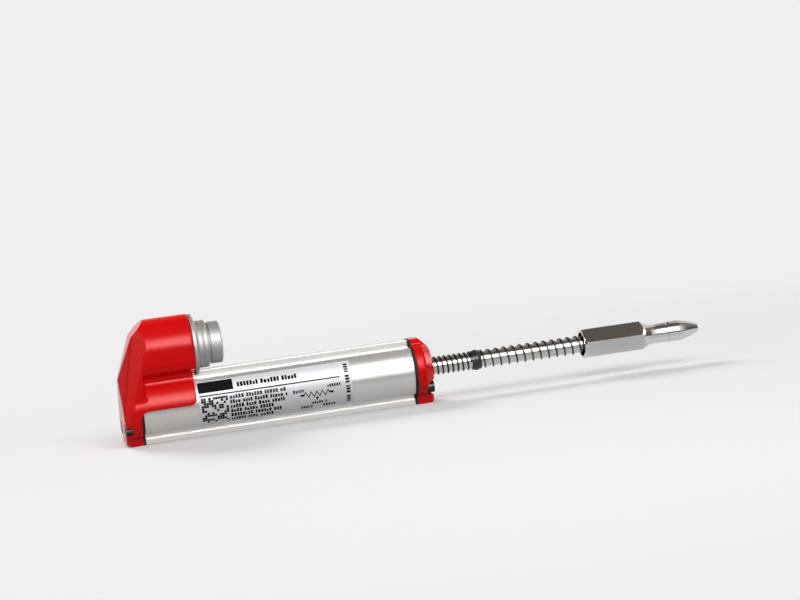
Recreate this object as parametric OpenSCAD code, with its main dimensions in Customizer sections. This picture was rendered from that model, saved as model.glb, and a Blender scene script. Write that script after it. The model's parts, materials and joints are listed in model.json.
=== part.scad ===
// Rod-type linear potentiometer with a return spring: an extruded body with two end caps,
// a round connector on a raised turret, and a sprung rod that carries a hexagonal tip.
// Millimetres, +X along the rod towards the tip, +Z up. The origin is the middle of the
// body's foot, on the underside.

/* [Body] */
// Length of the aluminium extrusion
body_l = 105; // [95:1:160]
// Outer radius of the round side walls
body_r = 11.9; // [11.5:0.1:12.6]
// Height of the rod axis above the foot's underside
axis_z = 13.2; // [12.8:0.1:14]
// Height of the flat ridge on top
ridge_z = 25; // [24.5:0.1:25.4]
// Width of the flat ridge on top
ridge_w = 7.2; // [6:0.2:8]
// Height of the shelves beside the ridge
shelf_z = 22.3; // [22:0.1:22.8]
// Width of the foot flange that clamps grip
foot_w = 11.6; // [10.8:0.2:14]
// Thickness of the foot flange
foot_t = 2.4; // [2:0.1:3]
// Width of the neck above the foot flange
neck_w = 9.6; // [8:0.2:10]
// Height where the round side walls start
neck_top_z = 4.4; // [4:0.1:4.6]
// Radius of the bore that the carriage slides in
bore_r = 8.8; // [8.4:0.1:9]

/* [End caps] */
// Thickness of the flat gaskets behind the caps
gasket_t = 1; // [0.6:0.1:1.5]
// Depth of the front cap ahead of its gasket
front_cap_depth = 7; // [7:0.5:10]
// Depth of the front cap's straight side wall
front_side_depth = 3.5; // [3:0.25:4.5]
// How far the front cap stands proud of the body
front_cap_proud = 0.3; // [0.2:0.1:0.6]
// Depth of the rear cap behind its gasket
rear_cap_depth = 6.3; // [6:0.1:9]
// How far the rear cap and its saddle stand proud of the body
rear_cap_proud = 0.8; // [0.7:0.1:1.2]
// Height of the rounded toe under the front cap
toe_z = 3.6; // [3:0.1:4.2]
// Radius of the toe's corners, seen from above
toe_corner_r = 3; // [2:0.25:5]
// Radius of the toe's end, seen from the side
toe_edge_r = 1.4; // [1:0.1:1.5]
// Wall thickness of the rear cap
cap_wall = 1.8; // [1.4:0.1:2]
// Length of the front cap's spigot in the bore
spigot_l = 6; // [5:0.5:8]

/* [Cap screws] */
// Height of the screws above the top of the neck
screw_rise = 1.9; // [1.8:0.05:2.1]
// Distance from the body's round side to the middle of each screw
screw_edge = 2.07; // [1.95:0.01:2.2]
// Thread diameter of the screws
screw_d = 2.5; // [2:0.1:2.6]
// Length of the screws under the head
screw_l = 12; // [10:1:20]
// Diameter of the screw heads
head_d = 4.5; // [4:0.1:4.6]
// Length of the screw heads
head_l = 2.5; // [2:0.1:2.6]
// Width across the flats of the hexagon socket
socket_af = 2; // [1.5:0.1:2.2]
// Depth of the screw seats below the front cap's face
front_seat_depth = 3; // [2.8:0.1:3.5]
// Height of the window that each screw pocket opens in the cap's side
window_h = 2.6; // [2:0.1:3.4]

/* [Turret] */
// Height of the connector axis above the foot's underside
turret_z = 34.6; // [34.4:0.1:37]
// Radius of the turret's round top
turret_r = 12.3; // [12.2:0.1:13]
// Distance from the body's rear end to the turret's front face
turret_front = 21.8; // [20:0.2:40]
// Height where the turret's straight sides start to turn under
turret_side_z = 29.5; // [29.3:0.1:31]
// Radius of the turret's lower corners
turret_corner_r = 4; // [3.5:0.1:4.2]
// Radius of the hollow between the turret and its saddle
waist_r = 2.5; // [2.4:0.1:3.2]
// Height of the saddle's lower edge
saddle_z = 13; // [11:0.5:15]
// Radius at the rear end of the saddle's lower edge
saddle_rear_r = 3; // [2:0.25:4]
// How far the saddle's front stands behind the turret's front face
saddle_setback = 1.2; // [0.6:0.1:2]
// Radius at the saddle's front lower corner
saddle_front_r = 2.5; // [1.5:0.25:3.5]
// Height where the turret's rear face starts to lean forward
lean_z = 25.5; // [24:0.5:28]
// Angle by which the turret's rear face leans forward
lean_angle = 22.7; // [15:0.5:26]
// Size of the chamfer along the turret's rear top edge
top_chamfer = 5.7; // [4:0.1:7]
// Depth of the chamfers at the turret's rear corners, at the height of the rod
side_chamfer = 3.7; // [1:0.1:4.5]
// Half the flat between the shallow facets, where the turret's rear face starts to lean
facet_y = 1.2; // [0.8:0.1:2]
// Wall thickness behind the shallow facets
facet_wall = 1; // [1:0.05:1.2]
// Size of the chamfer under the rear cap's heel
heel_chamfer = 1.8; // [1:0.1:2.4]
// How far the rear cap's flat cheeks reach over the body
cheek_l = 1.5; // [0.5:0.25:4]
// Thickness of the turret's front wall
front_wall_t = 2; // [1.6:0.1:2.4]
// Plastic left between the body's ridge and the turret's hollow
floor_t = 1.6; // [1.2:0.1:2]

/* [Connector] */
// Radius of the connector's barrel
barrel_r = 8; // [7.5:0.1:8.4]
// Length of the barrel
barrel_l = 4.4; // [4:0.2:8]
// Radius of the shell under the nut and in the turret's wall
shell_r = 7.6; // [7.4:0.1:7.8]
// Radius of the shell's flange inside the turret
shell_flange_r = 9.2; // [8.8:0.1:9.6]
// Inner radius of the shell
socket_r = 6.8; // [6.7:0.05:6.9]
// Radius of the groove behind the barrel
groove_r = 7.3; // [7.1:0.1:7.4]
// Length of the groove behind the barrel
groove_l = 0.9; // [0.6:0.1:1.4]
// Outer radius of the bezel
bezel_r = 11.9; // [11:0.1:12]
// Length of the bezel's straight rim
bezel_rim = 1.2; // [0.8:0.1:2]
// Length of the bezel's bevel
bezel_bevel = 1; // [0.6:0.1:1.4]
// Gap between the body and the notch in the bezel
notch_gap = 0.2; // [0.15:0.05:0.4]
// Thickness of the flat seal behind the bezel
bezel_seal_t = 0.3; // [0.2:0.1:0.5]
// Outer radius of the ring nut
nut_r = 9; // [8.8:0.1:9.2]
// Length of the ring nut
nut_l = 3.9; // [3:0.1:5]
// Depth of the socket in front of the insulating insert
socket_depth = 6.5; // [6:0.1:9]
// Number of contact pins
pin_count = 6; // [3:1:8]
// Radius of the circle of pins
pin_circle_r = 4.6; // [4.5:0.05:4.8]
// Diameter of the contact pins
pin_d = 1; // [0.8:0.05:1.2]

/* [Measuring system] */
// Travel of the rod
stroke = 50; // [25:5:52]
// Thickness of the track board
board_t = 1.6; // [1.2:0.1:1.8]
// Width of the track board
board_w = 14.6; // [14:0.1:15]
// Height of the track board's underside
board_z = 18.6; // [18.4:0.1:18.8]
// Thickness of the printed tracks
film_t = 0.15; // [0.1:0.05:0.2]
// Width of each printed track
film_w = 3.5; // [2.5:0.1:4]
// Distance between the middles of the two tracks
film_pitch = 6.5; // [5.5:0.1:7.5]
// Length of the carriage
carriage_l = 16; // [12:1:18]
// Height of the carriage's flat top
carriage_top_z = 17; // [16.6:0.1:17.2]
// Thickness of the wiper spring
wiper_t = 0.25; // [0.2:0.05:0.3]
// Thickness of the rubber end buffers
buffer_t = 2; // [1:0.5:3]
// Diameter of each inner lead with its insulation
lead_d = 1.2; // [1:0.1:1.4]

/* [Rod and springs] */
// Diameter of the rod
rod_d = 6; // [5.6:0.1:6.1]
// Rod length between the front cap and the tip at rest
rod_out = 62; // [58:0.5:80]
// Outer radius of the bush that guides the rod
bush_r = 4; // [3.8:0.1:4.2]
// Outer diameter of both springs
spring_d = 7.4; // [7.3:0.1:7.6]
// Length of the rear spring at rest
rear_spring_l = 17; // [15:0.5:19]
// Wire thickness of the rear spring
rear_wire_d = 0.6; // [0.4:0.05:0.6]
// Turns of the rear spring
rear_turns = 9.5; // [6:0.5:10]
// Wire thickness of the front spring
front_wire_d = 0.6; // [0.4:0.05:0.6]
// Turns of the front spring
front_turns = 20.5; // [16:0.5:24]
// Length of the guide ring between the springs
ring_l = 3.6; // [3:0.2:5]
// Outer diameter of the guide ring
ring_d = 8; // [7.8:0.1:8.6]

/* [Tip] */
// Width across the flats of the hexagonal sleeve
hex_af = 11; // [10.8:0.1:13]
// Length of the hexagonal sleeve
hex_l = 23.5; // [23:0.5:32]
// Depth of the sleeve's hollow for the front spring
hollow_depth = 21; // [18:0.5:22]
// Radius of the sleeve's hollow
hollow_r = 4.7; // [4.4:0.1:4.9]
// Turn of the hexagon about the rod axis
hex_turn = 51.7; // [0:0.1:60]
// Length of the hollow-sided taper in front of the hexagon
taper_l = 6.4; // [5:0.2:9]
// Diameter of the neck in front of the taper
tip_neck_d = 7.4; // [7:0.1:7.6]
// Diameter of the neck and of the nose where they meet
tip_joint_d = 7.8; // [7.6:0.1:8]
// Chamfer on both edges of that joint
tip_joint_chamfer = 0.25; // [0.1:0.05:0.4]
// Length of the neck in front of the taper
tip_neck_l = 5.2; // [5:0.2:8]
// Diameter of the nose
nose_d = 8.1; // [8:0.1:8.6]
// Length of the nose's nearly straight part
nose_straight = 4.7; // [3:0.1:7]
// Length of the nose's rounded part
nose_round = 8.2; // [7:0.1:11]
// Diameter of the nose's flat end
nose_end_d = 2.9; // [2:0.1:3.4]
// Radius of the arc along the nose's rounded part
nose_arc_r = 27; // [20:1:40]

/* [Label] */
// Length of the label
label_l = 59.2; // [40:0.2:70]
// Height of the label's lower edge
label_low_z = 4.9; // [4.8:0.1:6]
// Height of the label's upper edge
label_high_z = 21; // [19:0.1:21]
// Thickness of the label
label_t = 0.12; // [0.1:0.01:0.2]
// Distance between the saddle and the label
label_gap = 0.5; // [0.3:0.1:2]

/* [Fits] */
// Radial clearance of a running fit
running_fit = 0.05; // [0.03:0.01:0.08]
// Clearance between pieces that are fixed together
seat_fit = 0.05; // [0.02:0.01:0.1]
// Clearance of the parts that slide in the bore
slide_fit = 0.1; // [0.08:0.01:0.1]
// Gap at an end stop
stop_gap = 0.3; // [0.2:0.05:0.5]

/* [Hidden] */

$fn = 96;
eps = 0.01;
far = 80;

// Places along X, from the rear to the tip.
body_rear_x = -body_l / 2;
body_front_x = body_l / 2;
rear_cap_x = body_rear_x - gasket_t;
rear_face_x = rear_cap_x - rear_cap_depth;
front_cap_x = body_front_x + gasket_t;
cap_face_x = front_cap_x + front_cap_depth;
turret_x = body_rear_x + turret_front;
saddle_x = turret_x - saddle_setback;
hex_x = cap_face_x + rod_out;
hollow_end_x = hex_x + hollow_depth;
taper_x = hex_x + hex_l;
tip_neck_x = taper_x + taper_l;
nose_x = tip_neck_x + tip_neck_l;

// Height of the turret hollow's floor over the body.
floor_z = ridge_z + floor_t;
// Direction that the chamfers at the turret's rear corners face, on the +Y side.
side_normal = [-1, 1.07, 0.344];
// Direction that the rear face's shallow facets face, on the +Y side.
facet_normal = [-1, 0.44, 0.285];

// Screws and their bosses inside the body.
screw_r = screw_d / 2;
screw_z = neck_top_z + screw_rise;
screw_y = sqrt(pow(body_r - screw_edge, 2) - pow(axis_z - screw_z, 2));
boss_r = 2.4;
head_gap = 0.3;
pocket_r = head_d / 2 + head_gap;
rear_seat_x = rear_face_x + head_l;
front_seat_x = cap_face_x - front_seat_depth;
socket_l = 1.3;

// Connector, counted along X from the turret's front face.
bezel_x = turret_x + bezel_seal_t;
nut_x = bezel_x + bezel_rim + bezel_bevel;
groove_x = nut_x + nut_l;
barrel_x = groove_x + groove_l;
barrel_end_x = barrel_x + barrel_l;
insert_x = barrel_end_x - socket_depth;
shell_flange_t = 1.5;
shell_rear_x = turret_x - front_wall_t - shell_flange_t;
insert_step = 1;
insert_rear_x = shell_rear_x - insert_step;
insert_r = socket_r - seat_fit;
solder_l = 3.5;
pin_recess = 2.2;
pin_rear_x = insert_rear_x - solder_l;
pin_front_x = barrel_end_x - pin_recess;
pin_angles = [for (i = [0 : pin_count - 1]) 90 + i * 360 / pin_count];
bezel_lip = 0.25;
key_w = 1.6;
key_h = 0.8;
key_margin = 1;
rim_chamfer = 0.4;
nut_line = 0.25;
seal_inset = 0.2;

// Bush, seal and spring seat in the front cap.
bush_reach = 3.4;
bush_l = spigot_l + gasket_t + bush_reach;
bush_x = body_front_x - spigot_l;
rod_gap = 0.2;
seal_gap = 0.1;
seal_x = bush_x + bush_l + seal_gap;
seal_r = 4.4;
seat_t = 0.5;
seal_l = cap_face_x - seat_t - seal_gap - seal_x;
lip_r = rod_d / 2 + 1.1;
lip_l = 0.8;

// Carriage on the rod, between its clips, and the stops at both ends of its travel.
clip_t = 0.6;
clip_r = 4.2;
clip_slot_w = 4;
clip_groove = 0.5;
clip_gap = 0.1;
rod_stub = 0.7;
front_buffer_r = clip_r + 2.2;
rear_buffer_r = 4;
carriage_front_x = bush_x - buffer_t - stop_gap;
carriage_x = carriage_front_x - carriage_l;
clip_xs = [carriage_x - clip_gap - clip_t, carriage_front_x + clip_gap];
rod_rear_x = clip_xs[0] - rod_stub;
rod_end_x = tip_neck_x - 3;
end_stop_x = rod_rear_x - stroke - stop_gap - buffer_t;
end_stop_l = 14;

// Track board, with its films and its terminals on the underside.
board_inset = 2;
board_gap = 0.1;
board_x = body_rear_x + board_inset;
board_l = carriage_front_x - board_x;
terminal_x = body_rear_x - 2;
terminal_l = 8;
terminal_t = 0.3;
terminal_w = 1.6;
terminal_y = pin_circle_r * cos(30);
film_x = terminal_x + terminal_l;
film_l = board_x + board_l - film_x - 1;

// Wiper: a plate on the carriage, and arms that reach forward under the tracks.
wiper_inset = 1;
wiper_x = carriage_x + wiper_inset;
wiper_plate_l = carriage_l / 2;
wiper_lift = board_z - film_t - board_gap - carriage_top_z;
arm_x = wiper_x + wiper_plate_l;
arm_l = carriage_l - wiper_plate_l - 2 * wiper_inset;
arm_w = film_w - 1.5;
arm_flat_l = 1.4;
contact_r = 0.4;
contact_cut = 0.25;

// Stud that holds the nose in the sleeve, and the chamfer on the sleeve's rim.
stud_r = 2;
stud_l = 4.6;
hollow_chamfer = 0.9;

// Springs and ring.
ring_x = cap_face_x + rear_spring_l;
front_spring_x = ring_x + ring_l;
spring_gap = 0.15;
coil_sides = 6;
coil_steps = 14;

// Inner leads: points in X and Z, counted from the body's rear end and the foot's underside.
lead_side_route = [[-2.3, 18.4], [-3, 18.6], [-3.5, 19.3], [-3.7, 21], [-3.7, 23.5], [-3.3, 26],
    [-2.3, 28.5], [-0.5, 30.5], [2, 31.8], [5, 32.3], [9, 32.3], [13.6, 32.3]];
lead_middle_route = [[-2.3, 18.4], [-3, 18.6], [-3.5, 19.3], [-3.7, 21], [-3.7, 23.5], [-3.3, 25.8],
    [-2.3, 27.7], [-0.5, 29], [2, 29.8], [5, 30], [9, 30], [13.6, 30]];
lead_sides = 8;

// A flat shape in Y and Z, drawn along X from x0.
module along_x(x0, l) {
    translate([x0, 0, 0])
        rotate([90, 0, 90])
            linear_extrude(l)
                children();
}

// A round bar along X on the rod axis, or on an axis at another height.
module bar(x0, l, r, z = axis_z) {
    translate([x0, 0, z])
        rotate([0, 90, 0])
            cylinder(h = l, r = r);
}

// A shape drawn as radius against length, turned about an axis along X.
module turned(x0, z = axis_z) {
    translate([x0, 0, z])
        rotate([0, 90, 0])
            rotate_extrude()
                rotate(90)
                    mirror([0, 1])
                        children();
}

// Everything beyond a plane through a point, on the side that its normal points to.
module beyond(point, normal, inset = 0) {
    translate(point - inset * normal / norm(normal))
        rotate([0, acos(normal[2] / norm(normal)), atan2(normal[1], normal[0])])
            translate([-far / 2, -far / 2, 0])
                cube(far);
}

module both_sides() {
    children();
    mirror([0, 1, 0])
        children();
}

// Outline of the extrusion in Y and Z. grow moves its walls outward, never the underside.
module outline(grow = 0) {
    intersection() {
        translate([0, axis_z])
            circle(body_r + grow);
        translate([-body_r - grow, neck_top_z - grow])
            square([2 * (body_r + grow), shelf_z - neck_top_z + 2 * grow]);
    }
    translate([-ridge_w / 2 - grow, axis_z])
        square([ridge_w + 2 * grow, ridge_z - axis_z + grow]);
    translate([-neck_w / 2 - grow, 0])
        square([neck_w + 2 * grow, axis_z]);
    translate([-foot_w / 2 - grow, 0])
        square([foot_w + 2 * grow, foot_t + grow]);
}

// The two screw bosses along the bore, as seen from the end.
module boss_circles(r) {
    for (side = [-1, 1])
        translate([side * screw_y, screw_z])
            circle(r);
}

// What fills the bore between its wall and its bosses, less a clearance.
module bore_shape(clearance) {
    difference() {
        translate([0, axis_z])
            circle(bore_r - clearance);
        boss_circles(boss_r + clearance);
    }
}

module body_extrusion() {
    color("silver")
        along_x(body_rear_x, body_l)
            difference() {
                outline();
                bore_shape(0);
                boss_circles(screw_r + seat_fit);
                translate([-board_w / 2 - seat_fit, board_z])
                    square([board_w + 2 * seat_fit, board_t + seat_fit]);
            }
}

module gasket(x0) {
    color("black")
        along_x(x0, gasket_t)
            difference() {
                outline();
                bore_shape(0);
                boss_circles(screw_r + seat_fit);
            }
}

module cap_screw(seat_x, direction) {
    for (side = [-1, 1])
        translate([seat_x, side * screw_y, screw_z])
            rotate([0, 90 * direction, 0])
                difference() {
                    union() {
                        cylinder(h = head_l, r = head_d / 2);
                        translate([0, 0, -screw_l])
                            cylinder(h = screw_l + eps, r = screw_r);
                    }
                    translate([0, 0, head_l - socket_l])
                        cylinder(h = socket_l + eps, r = socket_af / sqrt(3), $fn = 6);
                }
}

// Pockets for the screw heads, from the seat outward, each with its window in the cap's side.
module screw_pockets(seat_x, direction) {
    both_sides()
        translate([seat_x, screw_y, screw_z])
            rotate([0, 90 * direction, 0]) {
                cylinder(h = far, r = pocket_r);
                translate([-window_h / 2, 0, 0])
                    cube([window_h, far, far]);
                translate([0, 0, -far / 4])
                    cylinder(h = far / 2, r = screw_r + seat_fit);
            }
}

module front_cap() {
    color("red")
        difference() {
            union() {
                intersection() {
                    along_x(front_cap_x, front_cap_depth)
                        outline(front_cap_proud);
                    turned(front_cap_x)
                        front_cap_profile();
                }
                front_toe();
                along_x(bush_x, spigot_l + gasket_t)
                    bore_shape(slide_fit);
            }
            bar(bush_x - eps, bush_l + eps, bush_r + seat_fit);
            bar(bush_x, far, rod_d / 2 + rod_gap);
            bar(seal_x - seal_gap, far, seal_r + seat_fit);
            screw_pockets(front_seat_x, 1);
        }
}

// Radius against depth: a chamfer at 45 degrees that leaves the side wall at its depth.
module front_cap_profile() {
    rim = body_r + front_cap_proud;
    polygon([[0, 0], [0, rim + front_side_depth],
        [front_cap_depth, rim + front_side_depth - front_cap_depth], [front_cap_depth, 0]]);
}

// A rectangle from the Y axis to +X whose two far corners are round.
module rounded_end(l, w, r) {
    translate([0, -w / 2])
        square([l - r, w]);
    translate([0, -w / 2 + r])
        square([l, w - 2 * r]);
    for (side = [-1, 1])
        translate([l - r, side * (w / 2 - r)])
            circle(r);
}

// The toe that carries the foot through under the front cap, round in plan and from the side.
module front_toe() {
    toe_w = foot_w + 2 * front_cap_proud;
    intersection() {
        translate([front_cap_x, 0, 0])
            linear_extrude(toe_z)
                rounded_end(front_cap_depth, toe_w, toe_corner_r);
        translate([front_cap_x, toe_w, toe_z / 2])
            rotate([90, 0, 0])
                linear_extrude(2 * toe_w)
                    rounded_end(front_cap_depth, toe_z, toe_edge_r);
    }
}

// Outer section of the turret in Y and Z, or the same section inside its wall.
module turret_section(inset = 0) {
    side_y = turret_r - turret_corner_r;
    translate([0, turret_z])
        circle(turret_r - inset);
    translate([-turret_r + inset, turret_side_z])
        square([2 * (turret_r - inset), turret_z - turret_side_z]);
    translate([-side_y, turret_side_z - turret_corner_r + inset])
        square([2 * side_y, turret_z - turret_side_z]);
    for (side = [-1, 1])
        translate([side * side_y, turret_side_z])
            circle(turret_corner_r - inset);
}

// Centre of a circle of radius r that touches two other circles from outside.
function touching(c1, r1, c2, r2, r) =
    let (d = norm(c2 - c1),
        u = (c2 - c1) / d,
        a = (d * d + (r1 + r) * (r1 + r) - (r2 + r) * (r2 + r)) / (2 * d),
        h = sqrt((r1 + r) * (r1 + r) - a * a))
    c1 + a * u + h * [u[1], -u[0]];

// The turret on its saddle: the saddle follows the body, and a hollow joins the two.
module saddle_section() {
    saddle_r = body_r + rear_cap_proud;
    axis = [0, axis_z];
    corner = [turret_r - turret_corner_r, turret_side_z];
    waist = touching(axis, saddle_r, corner, turret_corner_r, waist_r);
    turret_section();
    intersection() {
        translate(axis)
            circle(saddle_r);
        translate([-far / 2, saddle_z - saddle_rear_r])
            square([far, far]);
    }
    for (side = [0, 1])
        mirror([side, 0])
            difference() {
                polygon([axis, waist, corner, [0, turret_z]]);
                translate(waist)
                    circle(waist_r);
            }
}

// What lies behind the turret's flat rear faces, moved inward by the walls for its hollow.
module behind_turret(inset = 0, facet_inset = 0) {
    rise = turret_z + turret_r - lean_z;
    top_x = rear_face_x + (rise - top_chamfer) * tan(lean_angle);
    beyond([rear_face_x, 0, 0], [-1, 0, 0], inset);
    beyond([rear_face_x, 0, lean_z], [-cos(lean_angle), 0, sin(lean_angle)], inset);
    beyond([top_x, 0, turret_z + turret_r - top_chamfer], [-1, 0, 1], inset);
    both_sides() {
        beyond([rear_face_x + side_chamfer, body_r + rear_cap_proud, axis_z], side_normal, inset);
        beyond([rear_face_x, facet_y, lean_z], facet_normal, facet_inset);
    }
}

// The space under the saddle's edge with the radii at its two ends, and the space before it.
module saddle_trim() {
    high = saddle_z;
    translate([0, far / 2, 0])
        rotate([90, 0, 0])
            linear_extrude(far) {
                translate([rear_cap_x, -1])
                    square([far, high + 1 - saddle_rear_r]);
                translate([rear_cap_x + saddle_rear_r, 0])
                    square([far, high]);
                translate([rear_cap_x + saddle_rear_r, high - saddle_rear_r])
                    circle(saddle_rear_r);
                difference() {
                    translate([saddle_x - saddle_front_r, high - eps])
                        square(saddle_front_r + eps);
                    translate([saddle_x - saddle_front_r, high + saddle_front_r])
                        circle(saddle_front_r);
                }
                translate([saddle_x, 0])
                    square([far, turret_side_z - turret_corner_r]);
            }
}

// Hollow of the rear cap for the inner leads: down behind the body and forward in the turret.
module rear_cap_hollow() {
    chute_w = 2 * (terminal_y + lead_d);
    difference() {
        union() {
            translate([rear_face_x, -chute_w / 2, axis_z])
                cube([rear_cap_x - rear_face_x + eps, chute_w, turret_z - axis_z]);
            difference() {
                along_x(rear_face_x, turret_x - front_wall_t - rear_face_x)
                    turret_section(cap_wall);
                translate([rear_cap_x, -far / 2, 0])
                    cube([far, far, floor_z]);
            }
        }
        behind_turret(cap_wall, facet_wall);
    }
}

module rear_cap() {
    color("red")
        difference() {
            union() {
                along_x(rear_face_x, rear_cap_depth)
                    outline(rear_cap_proud);
                difference() {
                    union() {
                        along_x(rear_face_x, turret_x - rear_face_x)
                            saddle_section();
                        translate([rear_face_x, -turret_r, axis_z])
                            cube([body_rear_x + cheek_l - rear_face_x, 2 * turret_r, turret_z - axis_z]);
                    }
                    saddle_trim();
                }
            }
            behind_turret();
            beyond([rear_face_x + heel_chamfer, 0, 0], [-1, 0, -heel_chamfer]);
            rear_cap_hollow();
            along_x(rear_cap_x, far)
                outline(slide_fit);
            bar(turret_x - front_wall_t - 1, far, shell_r + seat_fit, turret_z);
            screw_pockets(rear_seat_x, -1);
        }
}

// The barrel and its sleeve; the flange inside the turret has a flat that stops it turning.
module connector_shell() {
    color("darkgray")
        difference() {
            union() {
                bar(shell_rear_x, shell_flange_t, shell_flange_r, turret_z);
                bar(shell_rear_x, groove_x - shell_rear_x, shell_r, turret_z);
                bar(groove_x - eps, groove_l + 2 * eps, groove_r, turret_z);
                turned(barrel_x, turret_z)
                    polygon([[0, 0], [0, barrel_r], [barrel_l - rim_chamfer, barrel_r],
                        [barrel_l, barrel_r - rim_chamfer], [barrel_l, 0]]);
            }
            difference() {
                bar(shell_rear_x - eps, far, socket_r, turret_z);
                translate([insert_x + key_margin, -key_w / 2, turret_z + socket_r - key_h])
                    cube([socket_depth - 2 * key_margin, key_w, 2 * key_h]);
            }
            translate([shell_rear_x - 1, -far / 2, 0])
                cube([shell_flange_t + 1, far, floor_z + seat_fit]);
        }
}

module connector_bezel() {
    color("gray")
        difference() {
            turned(bezel_x, turret_z)
                polygon([[0, shell_r + seat_fit], [0, bezel_r], [bezel_rim, bezel_r],
                    [bezel_rim + bezel_bevel, nut_r + bezel_lip],
                    [bezel_rim + bezel_bevel, shell_r + seat_fit]]);
            along_x(turret_x, far)
                outline(notch_gap);
        }
}

module connector_nut() {
    middle = nut_l / 2;
    color("dimgray")
        turned(nut_x, turret_z)
            polygon([[0, shell_r + seat_fit], [0, nut_r], [middle - nut_line, nut_r],
                [middle, nut_r - nut_line], [middle + nut_line, nut_r], [nut_l - nut_line, nut_r],
                [nut_l, nut_r - nut_line], [nut_l, shell_r + seat_fit]]);
}

module bezel_seal() {
    color("black")
        difference() {
            bar(turret_x, bezel_seal_t, bezel_r - seal_inset, turret_z);
            bar(turret_x - 1, far, shell_r + seat_fit, turret_z);
            along_x(turret_x - 1, far)
                outline(notch_gap);
        }
}

module connector_insert() {
    color("black")
        difference() {
            bar(insert_rear_x, insert_x - insert_rear_x, insert_r, turret_z);
            for (a = pin_angles)
                contact_pin(a, insert_rear_x - 1, far, pin_d / 2 + seat_fit);
        }
}

module contact_pin(angle, x0, l, r) {
    translate([x0, pin_circle_r * cos(angle), turret_z + pin_circle_r * sin(angle)])
        rotate([0, 90, 0])
            cylinder(h = l, r = r, $fn = 32);
}

module connector_pins() {
    color("gold")
        for (a = pin_angles)
            contact_pin(a, pin_rear_x, pin_front_x - pin_rear_x, pin_d / 2);
}

module track_board() {
    color("darkgreen")
        translate([board_x, -board_w / 2, board_z])
            cube([board_l, board_w, board_t]);
}

module printed_track(side, colour) {
    color(colour)
        translate([film_x, side * film_pitch / 2 - film_w / 2, board_z - film_t])
            cube([film_l, film_w, film_t]);
}

module track_terminals() {
    color("gold")
        for (y = [-terminal_y, 0, terminal_y])
            translate([terminal_x, y - terminal_w / 2, board_z - terminal_t])
                cube([terminal_l, terminal_w, terminal_t]);
}

// One ring of points round the lead at a point of its route.
function lead_ring(p, dir, y, r) =
    [for (k = [0 : lead_sides - 1])
        let (a = 360 * k / lead_sides)
        [body_rear_x + p[0] - r * sin(a) * dir[1], y + r * cos(a), p[1] + r * sin(a) * dir[0]]];

// Direction of the route at a point, from its neighbours.
function route_dir(route, i) =
    let (a = route[max(i - 1, 0)],
        b = route[min(i + 1, len(route) - 1)])
    (b - a) / norm(b - a);

// Faces of a tube of rings with flat ends.
function tube_faces(rings, sides) = concat(
    [[for (k = [0 : sides - 1]) k]],
    [for (i = [0 : rings - 2], k = [0 : sides - 1])
        [i * sides + k, (i + 1) * sides + k, (i + 1) * sides + (k + 1) % sides, i * sides + (k + 1) % sides]],
    [[for (k = [sides - 1 : -1 : 0]) (rings - 1) * sides + k]]);

module lead(route, y, colour) {
    points = [for (i = [0 : len(route) - 1])
        each lead_ring(route[i], route_dir(route, i), y, lead_d / 2)];
    color(colour)
        polyhedron(points, tube_faces(len(route), lead_sides));
}

module end_stop() {
    color("white")
        intersection() {
            along_x(end_stop_x - end_stop_l, end_stop_l)
                bore_shape(slide_fit);
            translate([-far, -far / 2, 0])
                cube([2 * far, far, board_z - max(film_t, terminal_t) - board_gap]);
        }
}

module rear_buffer() {
    color("black")
        bar(end_stop_x, buffer_t, rear_buffer_r);
}

module front_buffer() {
    color("black")
        difference() {
            bar(bush_x - buffer_t, buffer_t, front_buffer_r);
            bar(bush_x - buffer_t - 1, far, clip_r + stop_gap);
            along_x(bush_x - buffer_t - 1, far)
                boss_circles(boss_r + slide_fit);
        }
}

module rod_bush() {
    color("peru")
        difference() {
            bar(bush_x, bush_l, bush_r);
            bar(bush_x - 1, far, rod_d / 2 + running_fit);
        }
}

module rod_seal() {
    color("black")
        difference() {
            bar(seal_x, seal_l, seal_r);
            bar(seal_x - 1, far, rod_d / 2 + running_fit);
            turned(seal_x)
                polygon([[-1, 0], [-1, lip_r], [seal_l - lip_l, rod_d / 2], [seal_l - lip_l, 0]]);
        }
}

module spring_seat() {
    color("silver")
        difference() {
            bar(cap_face_x - seat_t, seat_t, seal_r);
            bar(cap_face_x - 1, far, rod_d / 2 + rod_gap);
        }
}

module carriage() {
    color("ivory")
        difference() {
            along_x(carriage_x, carriage_l)
                bore_shape(slide_fit);
            translate([-far, -far / 2, carriage_top_z])
                cube([2 * far, far, far]);
            bar(carriage_x - 1, far, rod_d / 2 + running_fit);
        }
}

// A sprung plate on the carriage with one raised arm under each track.
module wiper_spring() {
    color("goldenrod") {
        translate([wiper_x, -film_pitch / 2 - arm_w / 2, carriage_top_z])
            cube([wiper_plate_l, film_pitch + arm_w, wiper_t]);
        both_sides()
            translate([arm_x, film_pitch / 2 + arm_w / 2, carriage_top_z])
                rotate([90, 0, 0])
                    linear_extrude(arm_w)
                        wiper_arm();
    }
}

// Side view of one arm: it rises from the plate to a short flat under its contact.
module wiper_arm() {
    top = wiper_lift - 2 * contact_r + contact_cut;
    polygon([[-1, 0], [0, 0], [arm_l - arm_flat_l, top - wiper_t], [arm_l, top - wiper_t],
        [arm_l, top], [arm_l - arm_flat_l - wiper_t / 2, top], [0, wiper_t], [-1, wiper_t]]);
}

module wiper_contacts() {
    top_z = carriage_top_z + wiper_lift;
    color("gold")
        both_sides()
            difference() {
                translate([arm_x + arm_l - arm_flat_l / 2, film_pitch / 2 + arm_w / 2, top_z - contact_r])
                    rotate([90, 0, 0])
                        cylinder(h = arm_w, r = contact_r, $fn = 32);
                translate([arm_x, 0, top_z - 2 * contact_r + contact_cut - 1])
                    cube([far, far, 1]);
            }
}

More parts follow.
